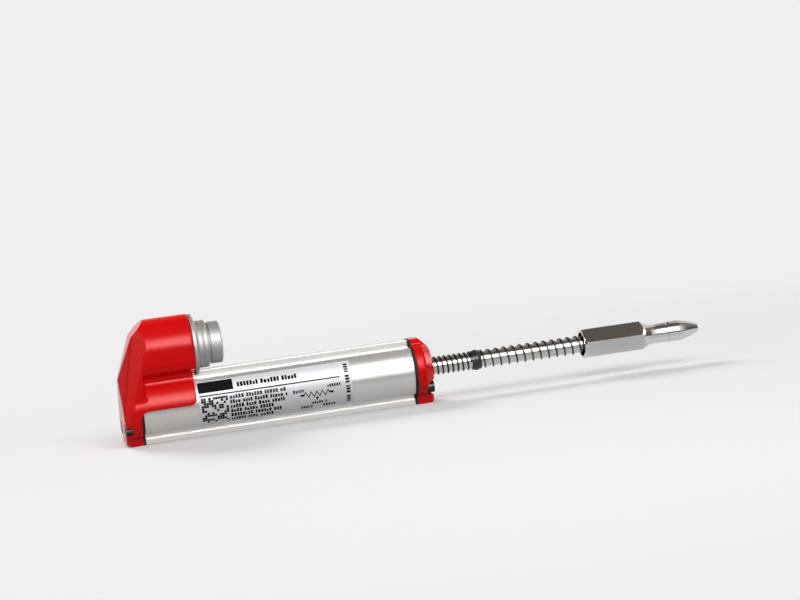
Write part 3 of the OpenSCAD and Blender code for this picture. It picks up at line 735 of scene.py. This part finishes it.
@dataclass(frozen=True)
class Bars:
    """A run of short bars that stands for words.

    Places are in millimetres on the label, and a run goes along the label or down it.

    Attributes:
        start: Where the run starts.
        end: Where it ends.
        side: Its upper edge, or its rear edge where it goes down the label.
        depth: Its size across the run.
        sizes: Shortest and longest bar along the run.
    """

    start: float
    end: float
    side: float
    depth: float
    sizes: Range


@dataclass
class Label(Assembly):
    """The silver label and the generic print on it.

    Places on the label are in millimetres from its rear end, and down from its top edge along
    the curve. A patch is its rear end, front end, upper edge and lower edge.

    Attributes:
        ink: Thickness of the print, in metres.
        seed: Seed of the generic marks.
        step: Longest straight step down the curve.
        gap: Gap between two bars of one word.
        block: The solid patch in the upper corner.
        rule: The long line under the title.
        dots: Rear end and upper edge of the square of dots.
        dot_count: Dots along each side of the square.
        dot_pitch: Distance from dot to dot.
        dot_fill: Size of a dot, as a share of that distance.
        dot_share: Share of the places that hold a dot.
        title: The row of large bars.
        text: The first row of text.
        text_ends: Where each row of text ends.
        text_pitch: Distance from one row of text to the next.
        captions: Start, end and upper edge of the short rows round the symbol.
        caption_height: Height of the short rows.
        caption_sizes: Their narrowest and widest bar.
        column: The run of bars down the front end.
    """

    ink: float = 0.000012
    seed: int = 7
    step: float = 0.6
    gap: float = 0.28
    block: Patch = (0.3, 13.7, 0.5, 4.9)
    rule: Patch = (0.4, 54.6, 5.8, 6.3)
    dots: Range = (0.8, 6.9)
    dot_count: int = 11
    dot_pitch: float = 0.94
    dot_fill: float = 0.92
    dot_share: float = 0.52
    title: Bars = Bars(15.2, 38.8, 2.3, 1.9, (0.8, 1.15))
    text: Bars = Bars(11.8, 33.4, 6.9, 1.45, (0.6, 0.95))
    text_ends: tuple[float, ...] = (33.4, 34.2, 34.0, 28.6, 31.2, 28.0)
    text_pitch: float = 1.83
    captions: tuple[Triple, ...] = (
        (36.0, 40.4, 8.9), (49.4, 55.2, 8.2), (43.0, 49.0, 14.3),
        (38.8, 43.2, 16.0), (47.4, 52.6, 16.0),
    )
    caption_height: float = 1.15
    caption_sizes: Range = (0.5, 0.75)
    column: Bars = Bars(1.2, 16.6, 56.6, 1.5, (0.6, 0.9))

    def __post_init__(self) -> None:
        """Reads the label's place and curve from the frame."""
        low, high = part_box("label")
        rod_low, rod_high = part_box("rod")
        self.start_x = low.x
        self.axis_z = (rod_low.z + rod_high.z) / 2
        self.radius = -low.y
        self.top = math.asin((high.z - self.axis_z) / self.radius)
        self.dice = random.Random(self.seed)

    def build(self) -> None:
        """Dresses the label and prints its block, line, dots, rows of bars and wiring symbol."""
        self.dress("label", LABEL)
        bold, faint = bmesh.new(), bmesh.new()
        self._patch(bold, *self.block)
        self._patch(bold, *self.rule)
        self._dots(bold)
        self._row(bold, self.title)
        for line, end in enumerate(self.text_ends):
            side = self.text.side + self.text_pitch * line
            self._row(bold if line else faint, replace(self.text, end=end, side=side))
        self._symbol(bold)
        for start, end, side in self.captions:
            self._row(bold, Bars(start, end, side, self.caption_height, self.caption_sizes))
        self._column(bold, self.column)
        add_mesh("label_print", bold, INK, "housing", smooth=False)
        add_mesh("label_fine_print", faint, FAINT_INK, "housing", smooth=False)

    def _point(self, along: float, down: float, lift: float) -> Vector:
        """A point on the label's curve.

        Args:
            along: Millimetres from the label's rear end.
            down: Millimetres down the curve from its top edge.
            lift: Metres above its surface.

        Returns:
            The point in the part's own frame.
        """
        turn = self.top - down * MM / self.radius
        reach = self.radius + lift
        return Vector((self.start_x + along * MM, -reach * math.cos(turn),
                       self.axis_z + reach * math.sin(turn)))

    def _sweep(self, shape: bmesh.types.BMesh, rows: list[tuple[Range, Range]]) -> None:
        """Adds a thin closed strip of print through rows of two places each.

        Args:
            shape: The shape to add to.
            rows: Pairs of places, each of them along and down.
        """
        rings = []
        for first, second in rows:
            corners = ((first, 0.0), (first, self.ink), (second, self.ink), (second, 0.0))
            rings.append([shape.verts.new(self._point(*place, lift)) for place, lift in corners])
        for ring, following in zip(rings, rings[1:]):
            for side in range(4):
                after = (side + 1) % 4
                shape.faces.new((ring[side], ring[after], following[after], following[side]))
        shape.faces.new(rings[0])
        shape.faces.new(reversed(rings[-1]))

    def _patch(self, shape: bmesh.types.BMesh, left: float, right: float, upper: float,
               lower: float) -> None:
        """Prints a filled rectangle.

        Args:
            shape: The shape to add to.
            left: Its rear end along the label.
            right: Its front end along the label.
            upper: Its upper edge, down from the label's top.
            lower: Its lower edge.
        """
        steps = max(1, math.ceil((lower - upper) / self.step))
        rows = [upper + (lower - upper) * step / steps for step in range(steps + 1)]
        self._sweep(shape, [((left, down), (right, down)) for down in rows])

    def _run(self, bars: Bars, words: tuple[int, int], word: int, space: float) -> Iterator[Range]:
        """Breaks a run into bars of random sizes, with a wider gap after each word.

        Args:
            bars: The run.
            words: Fewest and most bars in a word.
            word: Bars in the first word.
            space: What the gap after a word has more than the others.

        Yields:
            Where each bar starts and ends.
        """
        place, count = bars.start, 0
        while place < bars.end - bars.sizes[0]:
            size = min(self.dice.uniform(*bars.sizes), bars.end - place)
            yield place, place + size
            place += size + self.gap
            count += 1
            if count == word:
                place += space
                count, word = 0, self.dice.randint(*words)

    def _row(self, shape: bmesh.types.BMesh, bars: Bars) -> None:
        """Prints a row of bars, some of them lower than the rest.

        Args:
            shape: The shape to add to.
            bars: The run, along the label.
        """
        words, space, trims = (4, 8), 0.7, (0.0, 0.0, 0.25)
        for start, end in self._run(bars, words, self.dice.randint(*words), space):
            trim = self.dice.choice(trims) * bars.depth
            self._patch(shape, start, end, bars.side + trim, bars.side + bars.depth)

    def _column(self, shape: bmesh.types.BMesh, bars: Bars) -> None:
        """Prints a column of bars, in place of a word that runs up the label.

        Args:
            shape: The shape to add to.
            bars: The run, down the label.
        """
        words, first_word, space = (3, 6), 4, 0.8
        for start, end in self._run(bars, words, first_word, space):
            self._patch(shape, bars.side, bars.side + bars.depth, start, end)

    def _dots(self, shape: bmesh.types.BMesh) -> None:
        """Prints a square of random dots, which is no readable code.

        Args:
            shape: The shape to add to.
        """
        size = self.dot_pitch * self.dot_fill
        for row in range(self.dot_count):
            for column in range(self.dot_count):
                if self.dice.random() < self.dot_share:
                    left = self.dots[0] + column * self.dot_pitch
                    upper = self.dots[1] + row * self.dot_pitch
                    self._patch(shape, left, left + size, upper, upper + size)

    def _symbol(self, shape: bmesh.types.BMesh) -> None:
        """Prints a plain resistor zigzag with an arrow for its wiper.

        Args:
            shape: The shape to add to.
        """
        left, right, middle, swing, teeth, tail, line = 40.2, 50.0, 11.3, 1.0, 9, 1.6, 0.75
        stem, stem_half, stem_top, stem_end = (left + right) / 2, 0.2, 13.1, 14.0
        head = ((13.2, 0.7), (12.9, 0.48), (12.6, 0.26), (12.3, 0.05))
        pitch = (right - left) / teeth
        corners = [(left - tail, middle), (left, middle)]
        corners += [(left + pitch * (tooth + 0.5), middle + (swing if tooth % 2 else -swing))
                    for tooth in range(teeth)]
        corners += [(right, middle), (right + tail, middle)]
        self._stroke(shape, corners, line)
        self._patch(shape, stem - stem_half, stem + stem_half, stem_top, stem_end)
        self._sweep(shape, [((stem - half, down), (stem + half, down)) for down, half in head])

    def _stroke(self, shape: bmesh.types.BMesh, corners: list[Range], line: float,
                steps: int = 6) -> None:
        """Prints a line through corners, in steps short enough to follow the curve.

        Args:
            shape: The shape to add to.
            corners: The places that it joins.
            line: Its width, measured down the label.
            steps: Steps from corner to corner.
        """
        places = [corners[0]]
        for (x, y), (after_x, after_y) in zip(corners, corners[1:]):
            for step in range(1, steps + 1):
                share = step / steps
                places.append((x + (after_x - x) * share, y + (after_y - y) * share))
        self._sweep(shape, [((x, y - line / 2), (x, y + line / 2)) for x, y in places])


@dataclass
class Connector(Assembly):
    """The round connector on the turret: shell, bezel, ring nut, seal, insert and pins.

    Attributes:
        shell_edge: Rounding of the shell.
        bezel_edge: Rounding of the bezel.
        nut_edge: Rounding of the ring nut.
        pin_edge: Rounding of the pins.
    """

    shell_edge: Edge = Edge(0.00018, 3)
    bezel_edge: Edge = Edge(0.00025, 3)
    nut_edge: Edge = Edge(0.00015, 2)
    pin_edge: Edge = Edge(0.0002, 3)

    def build(self) -> None:
        """Dresses every piece of the connector."""
        for name, finish, edge in (
            ("connector_shell", CONNECTOR, self.shell_edge),
            ("connector_bezel", CONNECTOR, self.bezel_edge),
            ("connector_nut", CONNECTOR, self.nut_edge),
            ("bezel_seal", GASKET, None),
            ("connector_insert", INSERT, None),
            ("connector_pins", GOLD, self.pin_edge),
        ):
            self.dress(name, finish, edge)


@dataclass
class MeasuringSystem(Assembly):
    """What the housing holds inside: board, tracks, leads, stops, carriage and wiper."""

    def build(self) -> None:
        """Dresses every inner piece."""
        inner = {
            "track_board": BOARD, "resistance_track": CARBON, "collector_track": SILVER_FILM,
            "track_terminals": GOLD, "lead_brown": LEAD_BROWN, "lead_yellow": LEAD_YELLOW,
            "lead_blue": LEAD_BLUE, "end_stop": WHITE_PLASTIC, "rear_buffer": BUFFER,
            "front_buffer": BUFFER, "rod_bush": BRONZE, "rod_seal": BUFFER, "spring_seat": WASHER,
            "carriage": WHITE_PLASTIC, "wiper_spring": WIPER, "wiper_contacts": GOLD,
            "rod_clips": CLIP,
        }
        for name, finish in inner.items():
            self.dress(name, finish)


@dataclass
class Coil:
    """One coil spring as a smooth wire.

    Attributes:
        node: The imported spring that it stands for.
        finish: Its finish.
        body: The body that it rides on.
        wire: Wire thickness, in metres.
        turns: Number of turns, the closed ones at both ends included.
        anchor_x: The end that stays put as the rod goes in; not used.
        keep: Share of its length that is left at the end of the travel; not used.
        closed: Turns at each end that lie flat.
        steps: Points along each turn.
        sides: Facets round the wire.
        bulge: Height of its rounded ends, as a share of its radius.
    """

    node: str
    finish: Finish
    body: str
    wire: float
    turns: float
    anchor_x: float
    keep: float
    closed: float = 0.4
    steps: int = 26
    sides: int = 12
    bulge: float = 0.5

    def build(self) -> None:
        """Winds the wire in place of the imported spring."""
        low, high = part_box(self.node)
        axis_z = (low.z + high.z) / 2
        radius = (high.y - low.y) / 2 - self.wire / 2
        length = high.x - low.x
        path = []
        count = round(self.turns * self.steps)
        for step in range(count + 1):
            turn = self.turns * step / count
            angle = 2 * math.pi * turn
            path.append(Vector((low.x + self._advance(turn, length), radius * math.cos(angle),
                                radius * math.sin(angle))))
        shape = self._sweep(path)
        bmesh.ops.translate(shape, verts=shape.verts, vec=Vector((0.0, 0.0, axis_z)))
        piece = add_mesh(f"{self.node}_wire", shape, self.finish, self.body)
        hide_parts(self.node)
        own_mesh(piece)

    def _advance(self, turn: float, length: float) -> float:
        """Distance along the spring after a number of turns, with its ends closed.

        Args:
            turn: Turns from the rear end.
            length: The spring's length.

        Returns:
            The distance from the spring's rear end, in metres.
        """
        lead = self.wire * self.closed
        if turn < self.closed:
            return self.wire / 2 + self.wire * turn
        if turn > self.turns - self.closed:
            return length - self.wire / 2 - self.wire * (self.turns - turn)
        share = (turn - self.closed) / (self.turns - 2 * self.closed)
        return self.wire / 2 + lead + (length - self.wire - 2 * lead) * share

    def _sweep(self, path: list[Vector]) -> bmesh.types.BMesh:
        """Sweeps the wire along a path that winds round the X axis, with bulging ends.

        Args:
            path: The points along its middle.

        Returns:
            The wire's shape.
        """
        shape = bmesh.new()
        radius, sides = self.wire / 2, self.sides
        rings = []
        for index, point in enumerate(path):
            ahead = (path[min(index + 1, len(path) - 1)] - path[max(index - 1, 0)]).normalized()
            outward = Vector((0.0, point.y, point.z))
            outward = (outward - outward.dot(ahead) * ahead).normalized()
            across = ahead.cross(outward)
            ring = []
            for side in range(sides):
                turn = 2 * math.pi * side / sides
                spoke = radius * (math.cos(turn) * outward + math.sin(turn) * across)
                ring.append(shape.verts.new(point + spoke))
            rings.append(ring)
        for ring, following in zip(rings, rings[1:]):
            for side in range(sides):
                after = (side + 1) % sides
                shape.faces.new((ring[side], following[side], following[after], ring[after]))
        for ring, out in ((rings[0], path[0] - path[1]), (rings[-1], path[-1] - path[-2])):
            middle = sum((vert.co for vert in ring), Vector()) / sides
            tip = shape.verts.new(middle + out.normalized() * self.bulge * radius)
            for side in range(sides):
                shape.faces.new((ring[side], ring[(side + 1) % sides], tip))
        bmesh.ops.recalc_face_normals(shape, faces=shape.faces)
        return shape


@dataclass
class RodAssembly(Assembly):
    """The rod with its two springs and the guide ring between them.

    Attributes:
        stroke: Travel of the rod, in metres.
        ring_share: Share of the rod's travel that the ring makes.
        ring_edge: Rounding of the ring.
        wire: Thickness of the springs' wire, in metres.
        rear_turns: Turns of the short spring.
        front_turns: Turns of the long spring.
    """

    stroke: float
    ring_share: float
    ring_edge: Edge = Edge(0.0002, 3)
    wire: float = 0.6 * MM
    rear_turns: float = 8.5
    front_turns: float = 19.6

    def build(self) -> None:
        """Dresses the rod and the ring, and winds the springs."""
        self.dress("rod", ROD_STEEL)
        self.dress("spring_ring", RING, self.ring_edge)
        seat_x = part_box("spring_seat")[1].x
        rear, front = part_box("rear_spring"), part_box("front_spring")
        ring_travel = self.stroke * self.ring_share
        rear_keep = 1 - ring_travel / (rear[1].x - seat_x)
        front_keep = 1 - (self.stroke - ring_travel) / (front[1].x - front[0].x)
        for node, finish, body, turns, anchor_x, keep in (
            ("rear_spring", SPRING_DARK, "housing", self.rear_turns, seat_x, rear_keep),
            ("front_spring", SPRING_STEEL, "rod", self.front_turns, front[1].x, front_keep),
        ):
            Coil(node, finish, body, self.wire, turns, anchor_x, keep).build()


@dataclass
class Tip(Assembly):
    """The hexagonal sleeve and its nose.

    Attributes:
        sleeve_edge: Rounding of the sleeve.
        nose_edge: Rounding of the nose.
    """

    sleeve_edge: Edge = Edge(0.0005, 4, 25.0)
    nose_edge: Edge = Edge(0.0001, 2)

    def build(self) -> None:
        """Dresses the sleeve and the nose."""
        self.dress("hex_sleeve", CHROME, self.sleeve_edge)
        self.dress("tip_nose", CHROME, self.nose_edge)


# ---------------------------------------------------------------- studio


def direction(azimuth: float, elevation: float) -> Vector:
    """Finds the direction of a place round the object.

    Args:
        azimuth: Degrees; 0 is in front, on the -Y side, and 90 is at +X.
        elevation: Degrees over the horizon.

    Returns:
        A vector of length 1 from the object towards the place.
    """
    turn, rise = math.radians(azimuth), math.radians(elevation)
    level = math.cos(rise)
    return Vector((math.sin(turn) * level, -math.cos(turn) * level, math.sin(rise)))


@dataclass(frozen=True)
class SoftBox:
    """A soft rectangular lamp that faces the object, and that no mirrored ray sees.

    Attributes:
        name: Its name.
        azimuth: Direction it stands in, in degrees; 0 is in front, on the -Y side, 90 is at +X.
        elevation: Height over the horizon, in degrees.
        distance: Distance from the object, in metres.
        width: Its width, in metres.
        height: Its height, in metres.
        glow: Its brightness, where 1 is white.
    """

    name: str
    azimuth: float
    elevation: float
    distance: float
    width: float
    height: float
    glow: float

    def build(self, target: Vector) -> None:
        """Places the lamp.

        Args:
            target: The point that it faces.
        """
        away = direction(self.azimuth, self.elevation)
        lamp = bpy.data.lights.new(self.name, "AREA")
        lamp.shape = "RECTANGLE"
        lamp.size = self.width
        lamp.size_y = self.height
        lamp.energy = self.glow * math.pi * self.width * self.height
        holder = add_object(self.name, lamp)
        holder.visible_glossy = False
        holder.location = target + away * self.distance
        holder.rotation_euler = away.to_track_quat("Z", "Y").to_euler()
        LOG.info("%s: brightness %.2f at %.1f m", self.name, self.glow, self.distance)


@dataclass(frozen=True)
class Viewpoint:
    """The camera.

    Attributes:
        azimuth: Direction that it looks from, in degrees; negative is from the left.
        elevation: Its height over the horizon, in degrees.
        roll: Its roll, in degrees.
        lens: Its focal length, in millimetres.
        sensor: Width of its sensor, in millimetres.
        distance: Its distance from the point that it looks at, in metres.
        target: That point.
        clip: Nearest and farthest distance that it sees, in metres.
    """

    azimuth: float = -11.5
    elevation: float = 4.34
    roll: float = -7.18
    lens: float = 116.4
    sensor: float = 36.0
    distance: float = 1.0
    target: Triple = (0.05256, 0.0, 0.04049)
    clip: Range = (0.05, 20.0)

    def build(self) -> None:
        """Places the camera and makes it the scene's."""
        away = direction(self.azimuth, self.elevation)
        camera = bpy.data.cameras.new("camera")
        camera.lens = self.lens
        camera.sensor_width = self.sensor
        camera.clip_start, camera.clip_end = self.clip
        holder = add_object("camera", camera)
        holder.matrix_world = (
            Matrix.Translation(Vector(self.target) + away * self.distance)
            @ away.to_track_quat("Z", "Y").to_matrix().to_4x4()
            @ Matrix.Rotation(math.radians(self.roll), 4, "Z")
        )
        bpy.context.scene.camera = holder
        LOG.info("camera: %.1f mm lens at %.1f m", self.lens, self.distance)


@dataclass(frozen=True)
class Floor:
    """A pale round floor that fades into the surroundings, is clear from below, and carries a
    painted shadow.

    Attributes:
        centre: Its middle, a hair under the object.
        radius: Its radius, in metres.
        sides: Corners of its outline.
        paper: Brightness of its paper.
        bounce: Brightness of its paper in the light that it throws back.
        lift: What it adds where it is seen, so that it meets the surroundings.
        fade: Distances from its middle where it starts to fade and where it is gone.
        dark: Brightness of the painted shadow in front of the object, seen by mirrored rays only.
        painted_shadow_y: Y of a far and a nearer place on the strip.
        painted_shadow_depth: Strength of the strip at those two places.
        painted_shadow_end: Y where the strip starts to fade next to the object, and where it is
            gone.
    """

    centre: Triple = (0.05, 0.0, -0.00002)
    radius: float = 1.5
    sides: int = 96
    paper: float = 0.863
    bounce: float = 0.4
    lift: float = 0.075
    fade: Range = (0.14, 0.42)
    # The painted shadow in front of the object, seen by mirrored rays only: its brightness, place
    # and strength.
    dark: float = 0.02
    painted_shadow_y: Range = (-0.40, -0.12)
    painted_shadow_depth: Range = (0.5, 0.8)
    painted_shadow_end: Range = (-0.060, -0.036)

    def build(self) -> None:
        """Lays the floor and marks it as no part of the object."""
        shape = bmesh.new()
        bmesh.ops.create_circle(shape, cap_ends=True, segments=self.sides, radius=self.radius)
        mesh = bpy.data.meshes.new("floor")
        shape.to_mesh(mesh)
        shape.free()
        floor = add_object("floor", mesh)
        floor.location = self.centre
        mesh.materials.append(self._material())
        floor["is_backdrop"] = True
        LOG.info("floor: %.1f m across", 2 * self.radius)

    def _material(self) -> bpy.types.Material:
        """Builds the floor's material.

        Returns:
            The material.
        """
        material = bpy.data.materials.new("floor_paper")
        build, surface = fresh_nodes(material, "ShaderNodeOutputMaterial")
        ray = build.add("ShaderNodeLightPath").outputs
        mirrored = build.mirror_rays(ray)
        place = build.place()
        y = build.axes(place)["Y"]
        # Painted shadow: the floor in front of the object turns dark for mirrored rays only.
        strip = build.product(build.remap(y, self.painted_shadow_y, self.painted_shadow_depth),
                              build.remap(y, self.painted_shadow_end, (1.0, 0.0)), mirrored)
        dark = build.add("ShaderNodeBsdfDiffuse")
        build.feed((self.dark,) * 3, dark.inputs["Color"])
        shown = build.blend(strip, self._paper(build, ray, mirrored), dark.outputs[0])
        gone = build.remap(build.vector("LENGTH", place), self.fade)
        below = build.add("ShaderNodeNewGeometry").outputs["Backfacing"]
        clear = build.add("ShaderNodeBsdfTransparent").outputs[0]
        build.feed(build.blend(build.math("MAXIMUM", gone, below), shown, clear), surface)
        return material

    def _paper(self, build: NodeTree, ray: Sockets, mirrored: Socket) -> Socket:
        """Builds the paper, with the small light that it adds where it is seen.

        Args:
            build: The material's builder.
            ray: The outputs of its Light Path node.
            mirrored: 1 for mirrored rays.

        Returns:
            The shader's socket.
        """
        level = build.remap(ray["Is Diffuse Ray"], (0.0, 1.0), (self.paper, self.bounce))
        tone = build.add("ShaderNodeCombineColor")
        for socket in tone.inputs:
            build.feed(level, socket)
        paper = build.add("ShaderNodeBsdfDiffuse")
        build.feed(tone.outputs[0], paper.inputs["Color"])
        lift = build.add("ShaderNodeEmission")
        seen = build.math("MAXIMUM", ray["Is Camera Ray"], mirrored)
        build.feed(build.product(seen, self.lift), lift.inputs["Strength"])
        both = build.add("ShaderNodeAddShader")
        for shader, socket in zip((paper, lift), both.inputs):
            build.feed(shader.outputs[0], socket)
        return both.outputs[0]


@dataclass(frozen=True)
class Card:
    """A soft-edged white card in the surroundings, seen in reflections.

    Attributes:
        toward: The level direction that it stands in, as X and Y.
        reach: Half its width where it starts to fade and where it ends, as sines of angles.
        rise: Where it starts, is full, starts to fade and ends, as sines of their elevations.
        glow: Its brightness, where 1 is white.
    """

    toward: Range
    reach: Range
    rise: Patch
    glow: float

    def mask(self, build: NodeTree, place: Socket, height: Socket) -> Socket:
        """Builds the mask of the card.

        Args:
            build: The world's builder.
            place: The direction looked in.
            height: The Z of that direction.

        Returns:
            The mask's socket.
        """
        x, y = self.toward
        across = build.vector("DOT_PRODUCT", place, (-y, x, 0.0))
        ahead = build.vector("DOT_PRODUCT", place, (x, y, 0.0))
        return build.product(
            build.remap(build.math("ABSOLUTE", across), self.reach, (1.0, 0.0)),
            build.remap(ahead, (0.0, 0.1)),
            build.remap(height, self.rise[:2]),
            build.remap(height, self.rise[2:], (1.0, 0.0)),
        )


@dataclass(frozen=True)
class Surroundings:
    """The world: even light, a pale background, and what polished surfaces mirror.

    What is mirrored is laid out by the direction looked in, as its X, Y and Z from -1 to 1.

    Attributes:
        pale: Brightness of the background.
        ambient: Brightness of the even light.
        back_start: Y where the far side starts to brighten and where it is full.
        back_glow: Brightness in front of it and beyond it.
        bands: Z where the ceiling, and then the part straight above, starts and where it is full,
            with its colour.
        panel_x: X where the panel behind the tip starts and where it is full.
        panel_y: Y where it starts and where it is full.
        panel_glow: Its brightness.
        cards: The white cards: a wide one in front, a narrow bright one inside it, and one at
            each end.
    """

    pale: float = 0.863
    ambient: float = 0.16
    back_start: Range = (0.5, 0.85)
    back_glow: Range = (0.12, 0.95)
    bands: tuple[tuple[Range, RGB], ...] = (
        ((0.26, 0.55), (0.30, 0.215, 0.16)),
        ((0.85, 0.92), (0.115, 0.108, 0.102)),
    )
    panel_x: Range = (0.22, 0.30)
    panel_y: Range = (0.10, 0.22)
    panel_glow: float = 0.8
    cards: tuple[Card, ...] = (
        Card((0.139, -0.990), (0.45, 0.62), (-0.12, -0.02, 0.62, 0.85), 0.95),
        Card((-0.087, -0.996), (0.29, 0.375), (0.08, 0.36, 0.44, 0.75), 16.0),
        Card((-0.985, -0.174), (0.25, 0.36), (0.265, 0.33, 0.5, 0.62), 3.2),
        Card((0.980, 0.199), (0.10, 0.34), (-0.04, 0.14, 0.18, 0.42), 9.0),
    )

    def build(self) -> None:
        """Makes the world and gives it to the scene."""
        world = bpy.data.worlds.new("studio")
        build, surface = fresh_nodes(world, "ShaderNodeOutputWorld")
        ray = build.add("ShaderNodeLightPath").outputs
        first = build.math("LESS_THAN", ray["Diffuse Depth"], 0.5)
        mirrored = build.product(build.mirror_rays(ray), first)
        direct = build.math("MAXIMUM", mirrored, ray["Is Camera Ray"])
        seen = build.mix(ray["Is Camera Ray"], self._mirrored(build), (self.pale,) * 3)
        lights = []
        for colour, strength in (((1.0, 1.0, 1.0), self.ambient), (seen, 1.0)):
            light = build.add("ShaderNodeBackground")
            build.feed(colour, light.inputs["Color"])
            build.feed(strength, light.inputs["Strength"])
            lights.append(light.outputs[0])
        build.feed(build.blend(direct, *lights), surface)
        bpy.context.scene.world = world
        LOG.info("world: background %.3f, even light %.2f", self.pale, self.ambient)

    def _mirrored(self, build: NodeTree) -> Socket:
        """Builds the colour that polished surfaces mirror.

        Args:
            build: The world's builder.

        Returns:
            The colour's socket.
        """
        place = build.add("ShaderNodeTexCoord").outputs["Generated"]
        x, y, z = build.axes(place)
        panel = build.product(build.remap(x, self.panel_x), build.remap(y, self.panel_y))
        colour = build.remap(y, self.back_start, self.back_glow)
        for mask, shown in (
            *((build.remap(z, height), tint) for height, tint in self.bands),
            (panel, (self.panel_glow,) * 3),
            *((card.mask(build, place, z), (card.glow,) * 3) for card in self.cards),
        ):
            colour = build.mix(mask, colour, shown)
        return colour


@dataclass
class Studio:
    """The camera, the pale floor and surroundings, and the lamps.

    Attributes:
        centre: The point that the lamps face.
        boxes: The lamps.
    """

    centre: Triple = (0.05, 0.0, 0.02)
    boxes: tuple[SoftBox, ...] = (
        SoftBox("front_fill", 10.0, 42.0, 1.0, 0.9, 0.6, 2.9),
        SoftBox("top_fill", -20.0, 80.0, 0.9, 0.9, 0.7, 0.65),
        SoftBox("left_fill", -80.0, 25.0, 1.0, 0.5, 0.5, 1.4),
        SoftBox("back_key", -162.0, 31.0, 1.8, 0.6, 0.6, 17.0),
    )

    def build(self) -> None:
        """Makes the camera, the floor, the world and the lamps."""
        for part in (Viewpoint(), Floor(), Surroundings()):
            part.build()
        for box in self.boxes:
            box.build(Vector(self.centre))
        bpy.context.scene.view_settings.view_transform = "Standard"


# ---------------------------------------------------------------- the whole


def save_sizes(cad: tuple[Vector, Vector]) -> None:
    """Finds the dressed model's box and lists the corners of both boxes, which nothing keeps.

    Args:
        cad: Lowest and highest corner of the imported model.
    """
    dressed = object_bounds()
    [[list(corner) for corner in box] for box in (cad, dressed)]


def main() -> None:
    """Loads the frame, then builds the studio and every sub-assembly in order."""
    logging.basicConfig(level=logging.INFO, format="%(message)s")
    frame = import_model()
    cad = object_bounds()
    nodes = frame["nodes"]
    joints = {joint["name"]: joint for joint in frame["joints"]}
    stroke = -joints["rod_slide"]["range_m"][0]
    ring_share = -joints["ring_slide"]["range_m"][0] / stroke
    for assembly in (
        Studio(), Housing(nodes), Label(nodes), Connector(nodes), MeasuringSystem(nodes),
        RodAssembly(nodes, stroke, ring_share), Tip(nodes),
    ):
        assembly.build()
    save_sizes(cad)


if __name__ == "__main__":
    main()
